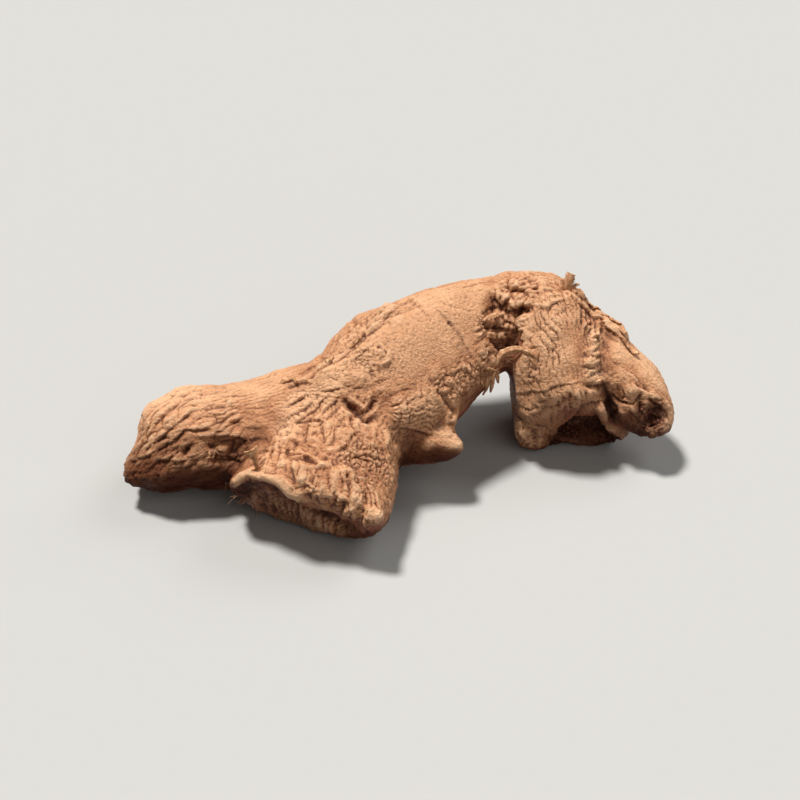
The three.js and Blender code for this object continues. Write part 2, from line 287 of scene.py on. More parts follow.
        "lip", [(53, 2.5, 17.5), (51, 2.5, 18.5), (49.2, 3.2, 19.5)], 0.7, 1.1),
    "short finger meets stub": (
        "groove", [(42, 5.5, 21), (43.5, 3.5, 16), (44.5, 2.5, 13), (46, 5.5, 7)], 1.6, 1.5),
    "fold between the lumps": ("groove", [(44.5, 3, 17), (46.5, 1.5, 15.5), (49.5, 1, 15.5)], 0.5, 1.2),
    "fold beside the first lump": ("groove", [(50.5, 2.5, 18.5), (50, 2, 17), (49, 1.5, 15.5)], 0.5, 1.1),
    "fold past the lumps": ("groove", [(50, 1.5, 17.5), (50.5, 0, 14.5), (50.5, -1, 11)], 1.2, 1.3),
    "crease on the first lump": ("groove", [(46.5, 3.5, 19), (47, 2, 17.5), (46.5, 1.5, 16)], 0.4, 0.7),
    "crease on the second lump": (
        "groove", [(48.5, 0.8, 14.5), (47.5, 0.5, 12.5), (47.8, 0.5, 11)], 0.4, 0.8),
    "crease past the second lump": ("lip", [(44.6, 2.2, 15), (44.8, 1.8, 12.5), (46, 2.2, 10.5)], 0.6, 0.8),
    "rim of the crater": ("lip", [(52, 1.5, 17), (54, 1, 16.5), (55.5, 0.5, 15)], 0.8, 0.9),
    "fold under the crater": (
        "lip", [(55.8, -1, 12.5), (54, -1, 12), (52.2, -1, 11.5), (51.5, -0.5, 10)], 0.8, 1.1),
}

# Rows of like folds: a kind, the path of their starts, the path of their ends, how many, and each one's reach
# and height or depth.
ROWS = {
    "wrinkles to the finger's tip": (
        "lip", [(-58, -13.5, 7), (-57.5, -10, 11), (-55, -6.5, 15)],
        [(-46.5, -15.5, 10), (-45.5, -12, 16), (-44.5, -5.5, 20.5), (-45.5, 0.5, 19.5)], 11, 0.8, 0.4),
    "wrinkles along the finger": (
        "lip", [(-47.5, -15.5, 9), (-46.5, -12.5, 15), (-45.5, -5.5, 20), (-45.5, 0.5, 19.5)],
        [(-36.5, -14.5, 10), (-36.5, -10.5, 18.5), (-36, -4.5, 21.5), (-35.5, 2.5, 20.5)], 8, 0.7, 0.3),
    "cracks down the right stub": (
        "groove", [(26.8, 10.5, 30), (30, 10.5, 31.5), (33, 10.5, 31)],
        [(27, 2.5, 19), (31, 1.5, 21), (34, 2, 22)], 9, 0.32, 0.42),
    "folds of the short finger's end": (
        "lip", [(51, 1.5, 17.5), (51.5, -0.5, 14), (52, 0, 7.5)],
        [(56, 2.5, 16), (56.5, 0, 13), (55.5, -1.5, 8)], 6, 1.0, 0.9),
    "fibres down the front break": (
        "ridge", [(-33, -19.5, 10), (-28, -21, 12), (-21.5, -22, 9.5), (-14, -25, 7.5)],
        [(-32, -18.5, 3), (-27, -19.5, 1.5), (-21, -21.5, 1.5), (-14.5, -24.5, 2)], 22, 0.5, 0.5),
    "pleats from the collar to the rim": (
        "lip", [(-23.5, -20.5, 18.5), (-16.5, -23, 18.5), (-10.5, -23, 18)],
        [(-22, -25, 16.5), (-16, -27.5, 13), (-9.5, -28.5, 12)], 7, 1.2, 1.3),
    "fine pleats by the corner": (
        "lip", [(-12, -25, 17.5), (-8.5, -25.5, 17), (-5.5, -25, 16)],
        [(-12, -27.5, 10), (-8.5, -29.5, 9), (-5, -30.5, 11)], 6, 0.8, 0.9),
    "folds over the corner of the front stub": (
        "lip", [(-14, -26.5, 11), (-10, -28.5, 11), (-6, -29.5, 11)],
        [(-12, -26, 4), (-8.5, -27, 4), (-5, -27.5, 6)], 5, 1.0, 0.7),
    "pleats on the corner of the stub": (
        "groove", [(-28.5, -17.5, 17.5), (-24.5, -18, 18.5)], [(-29, -21, 17), (-25, -21.5, 18)], 5, 0.6,
        0.5),
    "stacked folds of the neck": (
        "lip", [(20.5, 14, 33), (20, 10, 30), (20, 7.5, 27)],
        [(25.5, 14, 32), (25.5, 11, 30), (25, 8, 26.5)], 6, 1.3, 1.5),
    "folds that run out on the stem": (
        "lip", [(16, 12, 33), (15.5, 8.5, 31), (15.5, 6, 28.5), (16, 3.5, 25), (16.5, 2.5, 22)],
        [(19.5, 14, 33), (19.5, 10.5, 31), (19.5, 8, 28), (19, 6, 25.5), (18.5, 4.5, 22)], 11, 1.0, 0.9),
    "folds over the top of the neck": (
        "lip", [(23.5, 21.5, 34), (22.5, 19.5, 34), (26.5, 16.5, 33), (29.5, 14.5, 33)],
        [(33, 24.5, 32.5), (33.5, 20.5, 34), (34.5, 18.5, 33), (35.5, 17.5, 32)], 7, 0.9, 0.6),
    "fan below the crest": (
        "ridge", [(34, 16, 33.5), (37, 17.5, 32), (41, 16.5, 28), (43.5, 15, 26.5)],
        [(35.5, 10.5, 31), (38, 10, 28.5), (40.5, 10.5, 26.5), (43, 9, 25)], 13, 0.55, 0.6),
    "pleats down the right stub": (
        "ridge", [(39, 10, 26.5), (38.5, 7.5, 25.5), (38, 5.5, 24), (38, 4, 22.5)],
        [(41.5, 11.5, 26.5), (42, 9.5, 25), (42.5, 7.5, 23.5), (42.5, 5.5, 21.5)], 10, 0.6, 1.1),
    "pleats of the skirt": (
        "groove", [(31, 1, 17), (34, 0.5, 18.5), (38.5, 2, 20)],
        [(31, 3, 8), (34.5, 1.5, 11), (39, 0.5, 16)], 7, 0.7, 0.9),
}


# ---------------------------------------------------------------- the skin as arrays

def read(items, name, width=1, kind=np.float32):
    """One property of all the items of a mesh, with a row for each."""
    flat = np.empty(len(items) * width, kind)
    items.foreach_get(name, flat)
    return flat.reshape(-1, width)


def tree_of(places):
    """A search tree over the places."""
    tree = KDTree(len(places))
    for i, place in enumerate(places):
        tree.insert(place, i)
    tree.balance()
    return tree


def added(name, data):
    """A new object in the scene."""
    made = bpy.data.objects.new(name, data)
    bpy.context.scene.collection.objects.link(made)
    return made


def carried_out(thing, name):
    """A new object in place of the thing, with its modifiers carried out."""
    evaluated = thing.evaluated_get(bpy.context.evaluated_depsgraph_get())
    made = added(name, bpy.data.meshes.new_from_object(evaluated))
    bpy.data.objects.remove(thing)
    return made


class Skin:
    """A mesh of quads as arrays, in millimetres: its places, the way each faces, and its neighbours."""

    MOST_NEIGHBOURS = 6

    def __init__(self, thing):
        self.thing = thing
        mesh = thing.data
        self.places = read(mesh.vertices, "co", 3) / MM
        self.near = self.neighbour_table(mesh)
        self.area = read(mesh.polygons, "area").ravel().sum() / MM**2
        self.refresh()
        self.tree = tree_of(self.places)

    def neighbour_table(self, mesh):
        """The neighbours of each point. One with few is its own neighbour in the empty places."""
        ends = read(mesh.edges, "vertices", 2, np.int32)
        start = np.concatenate([ends[:, 0], ends[:, 1]])
        stop = np.concatenate([ends[:, 1], ends[:, 0]])
        order = np.argsort(start, kind="stable")
        start, stop = start[order], stop[order]
        everyone = np.arange(len(mesh.vertices))
        rank = np.arange(len(start)) - np.searchsorted(start, everyone)[start]
        keep = rank < self.MOST_NEIGHBOURS
        table = np.repeat(everyone[:, None], self.MOST_NEIGHBOURS, axis=1)
        table[start[keep], rank[keep]] = stop[keep]
        return table

    def refresh(self):
        """Writes the places to the mesh and reads back the way each faces."""
        mesh = self.thing.data
        mesh.vertices.foreach_set("co", (self.places * MM).astype(np.float32).ravel())
        mesh.update()
        self.facing = read(mesh.vertex_normals, "vector", 3)

    def spread(self, values, times=1):
        """The values averaged with their neighbours', so many times over."""
        for _ in range(times):
            total = values[self.near[:, 0]]
            for column in range(1, self.MOST_NEIGHBOURS):
                total = total + values[self.near[:, column]]
            values = total / self.MOST_NEIGHBOURS
        return values

    def relax(self, times):
        """Smooths the places, then stands them out again by what the smoothing took on the whole."""
        before = self.places
        smooth = self.spread(self.places, times)
        self.places = smooth
        self.refresh()
        lost = ((before - smooth) * self.facing).sum(1)
        self.push(np.full(len(smooth), lost.mean(), np.float32))

    def push(self, height, way=None):
        """Moves each place by its height, outwards or another way."""
        way = self.facing if way is None else way
        self.places = (self.places + way * height[:, None]).astype(np.float32)
        self.refresh()

    def path(self, points):
        """A close row of places on the skin through some points, which wavers a little."""
        rows = []
        for a, b in zip(points, points[1:]):
            a, b = Vector(a), Vector(b)
            count = max(1, round((b - a).length / PATH_STEP))
            rows += [a.lerp(b, k / count) for k in range(count)]
        rows.append(Vector(points[-1]))
        if len(rows) > 1:
            rows = warped(np.array(rows, np.float32), *PATH_WAVER, PATH_SEED)
        return np.array([self.tree.find(row)[0] for row in rows])

    def within(self, points, reach):
        """The places within reach of a path: which, how far to its left, how far off, and how far along."""
        row = self.path(points)
        low, high = row.min(0) - reach, row.max(0) + reach
        which = np.nonzero(((self.places > low) & (self.places < high)).all(1))[0]
        near = self.places[which]
        gap = np.full(len(which), np.inf)
        step = np.zeros(len(which), int)
        for k, point in enumerate(row):
            here = np.linalg.norm(near - point, axis=1)
            closer = here < gap
            gap[closer] = here[closer]
            step[closer] = k
        keep = gap < reach
        which, gap, step = which[keep], gap[keep], step[keep]
        if len(row) == 1:
            return which, gap, gap, np.full(len(which), 0.5)
        ahead = np.minimum(step + 2, len(row) - 1)
        behind = np.maximum(step - 2, 0)
        left = unit(np.cross(self.facing[which], row[ahead] - row[behind]))
        side = ((self.places[which] - row[step]) * left).sum(1)
        return which, side, gap, step / (len(row) - 1)


def unit(vectors):
    """The vectors, each with a length of 1."""
    return vectors / np.maximum(np.linalg.norm(vectors, axis=1), 1e-9)[:, None]


def swelling(skin, points, reach, height):
    """A rounded form along a path."""
    which, _, gap, _ = skin.within(points, reach)
    lift = np.zeros(len(skin.places), np.float32)
    lift[which] = height * (1 - (gap / reach) ** 2) ** 2
    return lift


def groove_profile(side, gap):
    """A sharp crease between two low banks."""
    return 0.12 * np.exp(-(((gap - 1.2) / 0.35) ** 2)) - np.exp(-2.6 * gap)


def ridge_profile(side, gap):
    """A rounded ridge."""
    return np.exp(-1.6 * gap * gap)


def lip_profile(side, gap):
    """A fold that stands over the crease beside it."""
    over = 0.5 + 0.5 * np.tanh(side / 0.22)
    return over * 0.6 * np.exp(-gap) - (1 - over) * 0.7 * np.exp(-1.7 * gap)


# How high each kind of line stands, from the distance to its side and off it, in shares of its reach.
PROFILES = {"groove": groove_profile, "ridge": ridge_profile, "lip": lip_profile}


def line(skin, kind, points, reach, height):
    """A groove, ridge or lip along a path, which thins out towards both ends."""
    which, side, gap, along = skin.within(points, 2.4 * reach)
    edge = np.clip(6 - 2.5 * gap / reach, 0, 1)  # to nothing at the far edge
    taper = 1.0
    if len(points) > 1:
        taper = np.clip(1.2 * np.sin(np.pi * np.clip(along, 0.03, 0.97)), 0, 1) ** 0.6
    lift = np.zeros(len(skin.places), np.float32)
    lift[which] = height * PROFILES[kind](side / reach, gap / reach) * taper * edge
    return lift


def row_of_lines(skin, kind, starts, ends, count, reach, height, seed):
    """Lines from one path to another, a little uneven in place, length and height."""
    rng = np.random.default_rng(seed)
    starts, ends = even_points(starts, ROW_POINTS), even_points(ends, ROW_POINTS)
    last = ROW_POINTS - 1
    lift = np.zeros(len(skin.places), np.float32)
    for k in range(count):
        share = (k + rng.uniform(0.2, 0.8)) / count
        a = starts[round(last * share)]
        b = ends[round(last * np.clip(share + rng.normal(0, 0.03), 0, 1))]
        a, b = a + (b - a) * rng.uniform(-0.15, 0.25), b + (a - b) * rng.uniform(-0.15, 0.25)
        size = reach * rng.uniform(0.75, 1.3)
        lift += line(skin, kind, [a, (a + b) / 2, b], size, height * rng.uniform(0.5, 1.2))
    return lift


def even_points(points, count):
    """Evenly spaced points along a path."""
    points = np.array(points, float)
    lengths = np.concatenate([[0], np.cumsum(np.linalg.norm(np.diff(points, axis=0), axis=1))])
    at = np.linspace(0, lengths[-1], count)
    return np.stack([np.interp(at, lengths, points[:, axis]) for axis in range(3)], axis=1)


def patch(skin, points, reach, soft=0.5):
    """1 near a path, falling to 0 over the outer share of its reach."""
    which, _, gap, _ = skin.within(points, reach)
    gap = gap + 0.25 * reach * noise(skin.places[which], 2.5, PATCH_SEED)  # an uneven edge
    value = np.zeros(len(skin.places), np.float32)
    value[which] = np.clip((reach - gap) / (soft * reach), 0, 1)
    return value * value * (3 - 2 * value)


# ---------------------------------------------------------------- noise and wrinkles

def noise(points, size, seed):
    """Smooth random values about 0, between -1 and 1, that change over about the size given."""
    table = np.random.default_rng(seed).uniform(-1, 1, (NOISE_CELLS,) * 3).astype(np.float32)
    cell = np.floor(points / size).astype(int)
    share = (points / size - cell).astype(np.float32)
    share = share * share * (3 - 2 * share)
    total = 0
    for corner in itertools.product((0, 1), repeat=3):
        weight = np.prod(np.where(corner, share, 1 - share), axis=1)
        x, y, z = ((cell + corner) % NOISE_CELLS).T
        total = total + weight * table[x, y, z]
    return total.astype(np.float32)


def warped(points, size, far, seed):
    """The points, each moved by a smooth random step of up to about far."""
    steps = [noise(points, size, seed + axis) for axis in range(3)]
    return points + far * np.stack(steps, axis=1)


def cells(points, size, seed):
    """Puffy cells: 1 on top of each, falling to 0 in the crease between two."""
    shape = (NOISE_CELLS,) * 3 + (3,)
    table = np.random.default_rng(seed).uniform(0.05, 0.95, shape).astype(np.float32)
    scaled = (points / size).astype(np.float32)
    cell = np.floor(scaled).astype(int)
    first = np.full(len(points), np.inf, np.float32)
    second = first.copy()
    for offset in itertools.product((-1, 0, 1), repeat=3):
        x, y, z = ((cell + offset) % NOISE_CELLS).T
        gap = np.linalg.norm(cell + offset + table[x, y, z] - scaled, axis=1)
        second = np.minimum(second, np.maximum(first, gap))
        first = np.minimum(first, gap)
    return np.sqrt(np.clip((second - first) / 0.8, 0, 1))


def crumples(points, size, seed):
    """Crumpled lumps of uneven size with smaller ones on them: about 1 on top, 0 in the creases."""
    total = np.zeros(len(points), np.float32)
    for octave, share in enumerate((0.65, 0.35, 0.20)):
        total += share * np.sqrt(np.abs(noise(points, size / 2**octave, seed + octave)))
    return np.clip(total, 0, 1)


def near_pairs(points, centres, reach):
    """Batches of pairs of a point and a centre closer than reach, with the step from one to the other."""
    low = np.minimum(points.min(0), centres.min(0)) - 2 * reach
    span = np.ceil((np.maximum(points.max(0), centres.max(0)) + 2 * reach - low) / reach).astype(int)
    steps = np.array([span[1] * span[2], span[2], 1])
    keys = np.floor((points - low) / reach).astype(int) @ steps
    order = np.argsort(keys, kind="stable")
    keys = keys[order]
    homes = np.floor((centres - low) / reach).astype(int) @ steps
    for offset in itertools.product((-1, 0, 1), repeat=3):
        wanted = homes + np.array(offset) @ steps
        first = np.searchsorted(keys, wanted, "left")
        counts = np.searchsorted(keys, wanted, "right") - first
        centre = np.repeat(np.arange(len(centres)), counts)
        rank = np.arange(counts.sum()) - np.repeat(np.cumsum(counts) - counts, counts)
        point = order[first[centre] + rank]
        gap = points[point] - centres[centre]
        close = (gap * gap).sum(1) < reach * reach
        yield point[close], centre[close], gap[close]


def ripples(skin, wanted, run, wavelength, stray, narrow, seed):
    """Puffy ripples whose creases follow run, fork where they crowd, and stray from it by about an angle.

    Only the wanted places get a value: 1 on the ridges, 0 in the creases.
    """
    rng = np.random.default_rng(seed)
    places = warped(skin.places, 4 * wavelength, 0.7 * wavelength, seed + 30)
    count = int(skin.area / (0.62 * wavelength) ** 2)
    picks = rng.choice(len(skin.places), count, replace=False)
    picks = picks[wanted[picks]]
    centres = places[picks]
    turn = rng.normal(0, stray, len(picks))[:, None]
    across = np.cross(skin.facing[picks], run[picks])
    lengths = wavelength * np.exp(0.35 * noise(centres, 5 * wavelength, seed + 33))
    waves = (np.cos(turn) * across + np.sin(turn) * run[picks]) * (2 * np.pi / lengths)[:, None]
    start = rng.uniform(0, 2 * np.pi, len(picks))
    width = 0.75 * wavelength

    def gathered(points):
        total = np.zeros(len(points), complex)
        for point, centre, gap in near_pairs(points, centres, 2.2 * width):
            strength = np.exp(-(gap * gap).sum(1) / (2 * width**2))
            angle = (gap * waves[centre]).sum(1) + start[centre]
            total += np.bincount(point, strength * np.cos(angle), len(points))
            total += 1j * np.bincount(point, strength * np.sin(angle), len(points))
        return total

    for _ in range(WAVE_MEETINGS):
        start = np.angle(gathered(centres))
    field = gathered(places[wanted])
    sure = np.clip(np.abs(field) / np.median(np.abs(field)), 0, 1)
    ridge = np.abs(np.cos(np.angle(field) / 2)) ** narrow
    pattern = np.full(len(places), 0.7, np.float32)
    pattern[wanted] = MIDDLE_HEIGHT + (ridge - MIDDLE_HEIGHT) * sure
    return pattern


# ---------------------------------------------------------------- the run of the grain

def lobe_fields(skin):
    """Each lobe's share in each place, from 0 to 1, and the run of the grain, which follows the lobes."""
    closeness, ways = [], []
    for points, radius in LOBES.values():
        best = np.full(len(skin.places), np.inf)
        way = np.zeros_like(skin.places)
        for a, b in zip(points, points[1:]):
            a, b = np.array(a, float), np.array(b, float)
            stretch = b - a
            share = np.clip((skin.places - a) @ stretch / (stretch @ stretch), 0, 1)
            gap = np.linalg.norm(skin.places - a - share[:, None] * stretch, axis=1)
            closer = gap < best
            best[closer] = gap[closer]
            way[closer] = stretch / np.linalg.norm(stretch)
        closeness.append(np.exp(-(best - radius) / 1.6))
        ways.append(skin.spread(way, 40))
    total = sum(closeness)
    shares = {name: (close / total).astype(np.float32) for name, close in zip(LOBES, closeness)}
    run = sum(way * shares[name][:, None] for name, way in zip(LOBES, ways))
    run = skin.spread(run, 20)
    run = run - skin.facing * (run * skin.facing).sum(1)[:, None]
    return shares, unit(run)


# ---------------------------------------------------------------- sculpting

# The fields of wrinkles are ripples, cells and crumples. Ripples have a wavelength, a stray from the grain,
# whether they run across it, and how narrow their creases are (1 is a wave, less is a narrower crease).
RIPPLES = {
    "folds": (3.2, 0.30, False, 0.45),
    "long": (1.6, 0.35, False, 0.4),
    "fine": (0.9, 0.40, False, 0.7),
    "cross": (1.3, 0.40, True, 0.7),
    "maze": (1.15, 3.0, False, 0.7),
    "brain": (2.3, 3.0, False, 0.4),
    "splits": (1.6, 0.50, False, 0.2),
}
CELLS = {"lozenges": 2.0, "cells": 2.8, "crumbs": 1.1}  # the size of the cells
FINGER_WAY = Vector((-0.86, -0.40, -0.31)).normalized()  # lozenges are longer this way
LOZENGE_STRETCH = 0.68  # 0 is as wide as long
CRUMPLES = {"lumps": 3.0, "crumple": 1.6}  # the size of the largest lumps
FIELDS = [*RIPPLES, *CELLS, *CRUMPLES]
WRINKLE_DEPTH = 1.4  # all the fields of wrinkles together
WAVE_MEETINGS = 3  # how often the waves of a field of ripples fall in with their neighbours
MIDDLE_HEIGHT = 0.65  # of a field's pattern from 0 to 1: what lies above it is lifted, what lies below sinks
SAG = 0.35  # how far each wrinkle leans downwards for its height
EVENED = 12  # smoothings of a new skin, against the steps of its quads
LARGE_AND_SMALL = ((0.40, 7.0, 20), (0.25, 3.2, 21))  # unevenness of the whole: a height, a size and a seed
CLOSE, MIDDLE, BROAD = 3, 27, 170  # smoothings that take away a crease, a fold and a bulge
UNDERSIDE = 80  # smoothings after which the facing is that of the underside as a whole

# How deep each field of wrinkles is on each lobe.
ON_LOBES = {
    "finger": {"folds": 0.40, "lozenges": 0.38, "long": 0.14, "fine": 0.08, "crumbs": 0.05},
    "stem": {"folds": 0.30, "long": 0.16, "fine": 0.08, "crumple": 0.20, "crumbs": 0.06},
    "front": {"lumps": 0.60, "crumple": 0.35, "brain": 0.20, "crumbs": 0.12},
    "bud": {"lumps": 0.25, "crumple": 0.20, "fine": 0.08},
    "right": {"splits": 0.34, "fine": 0.10, "crumbs": 0.08},
    "short": {"folds": 0.25, "long": 0.15, "maze": 0.10, "crumbs": 0.05},
}

# Patches where other wrinkles take over: a path, its reach, and the depths there.
PATCHES = {
    "smooth end of the finger": (
        [(-32, -3, 22), (-27, -2, 22.5), (-28, -8, 20)], 6.5, {"fine": 0.1, "long": 0.1, "crumbs": 0.03}),
    "front break": (
        [(-31.5, -18.5, 7), (-24.5, -19.5, 6), (-19, -21.5, 6)], 6.0, {"crumbs": 0.3, "cells": 0.3}),
    "slanting folds of the junction": (
        [(-23.5, -8.5, 21.5), (-20, -6.5, 22.5), (-15.5, -7.5, 23.5)], 4.6,
        {"lumps": 0.5, "long": 0.2, "fine": 0.12}),
    "brain-like junction": (
        [(-22.5, -13.5, 20.5), (-16.5, -13.5, 21), (-12.5, -11.5, 22)], 6.5,
        {"lumps": 0.95, "brain": 0.35, "cells": 0.15, "crumple": 0.25}),
    "bank above the collar": (
        [(-22.5, -17.5, 19.5), (-14.5, -17.5, 20)], 2.6, {"brain": 0.3, "maze": 0.12}),
    "rim": (
        [(-34, -20, 12.5), (-31.5, -21.5, 16.5), (-28, -23.5, 17.5), (-24.5, -25.5, 17), (-22.5, -26, 15.5)],
        1.8, {"fine": 0.04}),
    "right part of the rim": (
        [(-21.5, -26.5, 15), (-18, -27.5, 13.5), (-14.5, -28, 12.5)], 2.2, {"crumple": 0.35, "lumps": 0.4}),
    "corner of the front stub": (
        [(-8, -28.5, 10), (-5, -30, 12.5)], 3.0, {"crumple": 0.5, "lumps": 0.4, "fine": 0.12}),
    "collar": (
        [(-26.5, -20.5, 18), (-20.5, -22.5, 19), (-14.5, -24.5, 18)], 3.2,
        {"lumps": 0.4, "crumple": 0.2, "fine": 0.08}),
    "crinkled side of the front stub": (
        [(-9.5, -17.5, 19), (-7.5, -22.5, 17.5), (-5.5, -20.5, 17)], 6.0,
        {"lumps": 0.45, "crumple": 0.55, "maze": 0.12, "crumbs": 0.32}),
    "smooth dip by the bud": ([(-4.5, -8.5, 20), (-3.5, -13.5, 18)], 3.0, {"maze": 0.08, "crumbs": 0.05}),
    "smooth stem": (
        [(-0.5, 1.5, 29), (7.5, 5.5, 31), (13.5, 9.5, 33)], 9.0, {"maze": 0.06, "crumbs": 0.06}),
    "ridges along the stem's upper edge": (
        [(-14.5, 2.5, 28), (-6.5, 8.5, 32)], 5.0,
        {"long": 0.2, "lumps": 0.55, "crumple": 0.35, "crumbs": 0.1}),
    "rough patch by the scar": (
        [(-12, -0.5, 28.5), (-9.5, 1.5, 29), (-5.5, -1.5, 28)], 3.6,
        {"crumbs": 0.3, "crumple": 0.5, "lumps": 0.3}),
    "puffed patch": (PUFFED_PATCH, 5.0, {"crumple": 0.35, "long": 0.18, "fine": 0.22, "cross": 0.1}),
    "crinkled edge of the arch": (
        [(8, -2.5, 23.5), (12, -1, 23), (15, 1.5, 24.5)], 4.4,
        {"crumbs": 0.5, "crumple": 0.5, "lumps": 0.2}),
    "smooth face of the right stub": ([(36, 9, 29), (36.5, 4, 23.5)], 2.8, {"fine": 0.06, "cross": 0.03}),
    "cracked face of the right stub": (
        [(30.5, 11.5, 31.5), (30.5, 5, 26), (30.5, 3, 21)], 5.2,
        {"splits": 0.42, "long": 0.1, "fine": 0.12, "crumbs": 0.1}),
    "neck": (
        [(22.5, 16.5, 33), (21, 11.5, 30), (20.5, 8, 26), (26.5, 17.5, 34)], 4.5,
        {"lumps": 0.8, "brain": 0.45, "cells": 0.3, "cross": 0.35, "crumple": 0.3}),
    "pleats down the right stub": (
        [(39, 12.5, 28), (40.5, 7, 25), (40.5, 4, 21)], 2.8, {"cross": 0.25, "fine": 0.1}),
    "skirt of the right stub": (
        [(26.5, 2.5, 10), (30.5, 0.5, 15), (37, 0.5, 18)], 4.0,
        {"lumps": 0.55, "brain": 0.25, "crumple": 0.3, "fine": 0.12}),
    "foot of the right stub": (
        [(25, 3.5, 9), (26.5, 3, 4), (30.5, 3.5, 5)], 4.4, {"lumps": 0.8, "crumple": 0.45, "fine": 0.1}),
    "break of the right stub": (
        [(36.5, 5, 4), (42, 5, 5), (45, 4.5, 4)], 5.5, {"crumbs": 0.35, "cells": 0.3}),
    "smooth top of the short finger": (
        [(47.5, 9.5, 24), (51.5, 5.5, 20)], 4.5, {"maze": 0.05, "long": 0.06}),
    "rough end of the short finger": (
        [(53.5, -0.5, 13), (53.5, -1.5, 8)], 4.5,
        {"crumbs": 0.3, "cells": 0.3, "lumps": 0.8, "crumple": 0.5}),
}

# Places where light (above 0) or shade (below 0) is painted on the skin as paler or darker colour: a path,
# its reach, how much.
PAINTED_LIGHT_AND_SHADE = {
    "top of the finger": (
        [(-49.5, -0.5, 19.5), (-42.5, -1.5, 21.5), (-34, 0, 22), (-27, 1.5, 22.5)], 7, 0.5),
    "underside of the finger": (
        [(-54.5, -13.5, 7), (-49.5, -16, 9), (-43.5, -15.5, 9.5), (-36, -14, 10)], 10.5, -0.9),
    "end of the finger's top": ([(-51, -2, 18), (-48, 0, 19.5), (-45, 1.5, 20)], 5, 0.9),
    "side of the finger": ([(-46, -13.5, 13.5), (-40, -12.5, 15.5), (-36, -13, 15)], 4.5, -0.4),
    "finger beside the front stub": ([(-34, -13, 15), (-31, -14, 16.5), (-29.5, -12.5, 17)], 4.5, -0.55),
    "rim of the front break": (
        [(-34, -20, 12.5), (-31.5, -21.5, 16.5), (-28, -23.5, 17.5), (-24.5, -25.5, 17), (-21.5, -26.5, 15)],
        1.8, 1),
    "right half of the rim": ([(-20, -27, 14.5), (-17, -27.5, 13), (-14.5, -28, 12.5)], 1.6, 0.25),
    "band below the rim": (
        [(-33, -19.5, 11.5), (-28.5, -21, 12.5), (-24.5, -21.5, 10.5), (-21.5, -21.5, 9.5),
         (-17, -23, 8.5), (-11, -26, 7)], 2.6, -0.35),
    "low side of the front stub": ([(-11, -26.5, 4), (-7, -28, 5), (-2, -26, 5), (-1, -20, 6)], 4.5, -0.6),
    "corner of the front stub": ([(-6, -30.5, 13.5), (-4.5, -29.5, 12)], 1.8, 0.2),
    "top of the junction": ([(-24, -12, 20), (-22, -6, 22.5), (-15, -4, 25)], 4.5, 0.8),
    "crinkles of the front stub": ([(-9, -16, 19.5), (-5.5, -21, 17), (-8.5, -24.5, 17)], 5.5, -0.22),
    "collar of the front stub": ([(-20, -22.5, 18.5), (-14.5, -25, 18)], 3, -0.15),
    "lower part of the front break": (
        [(-32, -18.5, 3.5), (-28, -19, 1), (-22.5, -21, 1), (-17, -23.5, 1.5)], 3.6, 0.3),
    "foot of the right stub": ([(25.5, 3, 8.5), (27, 3.5, 4.5), (30.5, 3.5, 6)], 4, 0.8),
    "sole of the right stub": ([(26, 3, 0.5), (30, 3, 0.5), (33, 3.5, 1.5)], 3, -0.7),
    "puffed patch": (PUFFED_PATCH, 4.5, 0.5),
    "middle of the stem": ([(-8, 0, 29), (-0.5, 1.5, 29), (6, 4.5, 30.5), (12, 9, 33)], 8, 0.5),
    "torn fissure": (TORN_FISSURE, 1.4, -0.6),
    "tip of the bud": ([(8.5, -8.5, 15.5), (12, -8.5, 14)], 3, 0.6),
    "underside of the bud": ([(1, -9.5, 11), (5.5, -10.5, 11.5), (10, -10.5, 11)], 4.5, -0.9),
    "upper edge of the stem": ([(-13, 2, 29.5), (-5, 7, 33.5), (3, 12, 35), (14, 16, 34.5)], 6, 0.5),
    "hollows of the neck": ([(18, 6, 26.5), (19.5, 9, 29), (22, 10, 29)], 4.0, -0.1),
    "depth of the neck": ([(20.5, 7, 25.5), (22.5, 8.5, 26.5), (23.5, 8, 24)], 2.6, -0.75),
    "edge of the arch": ([(13, -0.5, 19), (16.5, 2, 20), (18.5, 4.5, 21)], 3.5, -0.5),
    "face of the right stub": ([(30.5, 9, 30), (30.5, 3, 22), (29, 2, 13), (27, 3, 6)], 8, 0.4),
    "left edge of the right stub": ([(26, 6, 20), (25, 4, 14.5), (25.5, 3, 10)], 3.5, 0.6),
    "pleats of the right stub": ([(40.5, 11, 26.5), (40.5, 7, 24.5), (40.5, 4.5, 21.5)], 2.4, 1),
    "break of the right stub": ([(34, 4, 4), (41, 4.5, 5), (46, 5, 4)], 6, -0.9),
    "fin of the right stub": ([(41.5, 2, 15.5), (44, 2.5, 11), (46.5, 4, 7), (47.5, 5.5, 4)], 2.0, 0.5),
    "top of the short finger": ([(47, 10, 24.5), (51.5, 8.5, 21.5), (54.5, 6.5, 19)], 4, 0.9),
    "side of the short finger": ([(44.5, 2.5, 16), (46, 1.5, 12), (50, 0.5, 12)], 4.5, -0.7),
    "end of the short finger": ([(53, 0.5, 15), (54, -0.5, 11), (52, -0.5, 9), (54.5, -2, 9)], 4.5, -0.75),
}


def wrinkle_depths(skin, shares):
    """The depth of each field of wrinkles in each place."""
    covered = np.zeros(len(skin.places), np.float32)
    depths = {field: np.zeros(len(skin.places), np.float32) for field in FIELDS}
    for points, reach, there in PATCHES.values():
        share = patch(skin, points, reach) * (1 - covered)
        covered += share
        for field, depth in there.items():
            depths[field] += depth * share
    for lobe, there in ON_LOBES.items():
        for field, depth in there.items():
            depths[field] += depth * shares[lobe] * (1 - covered)
    return depths


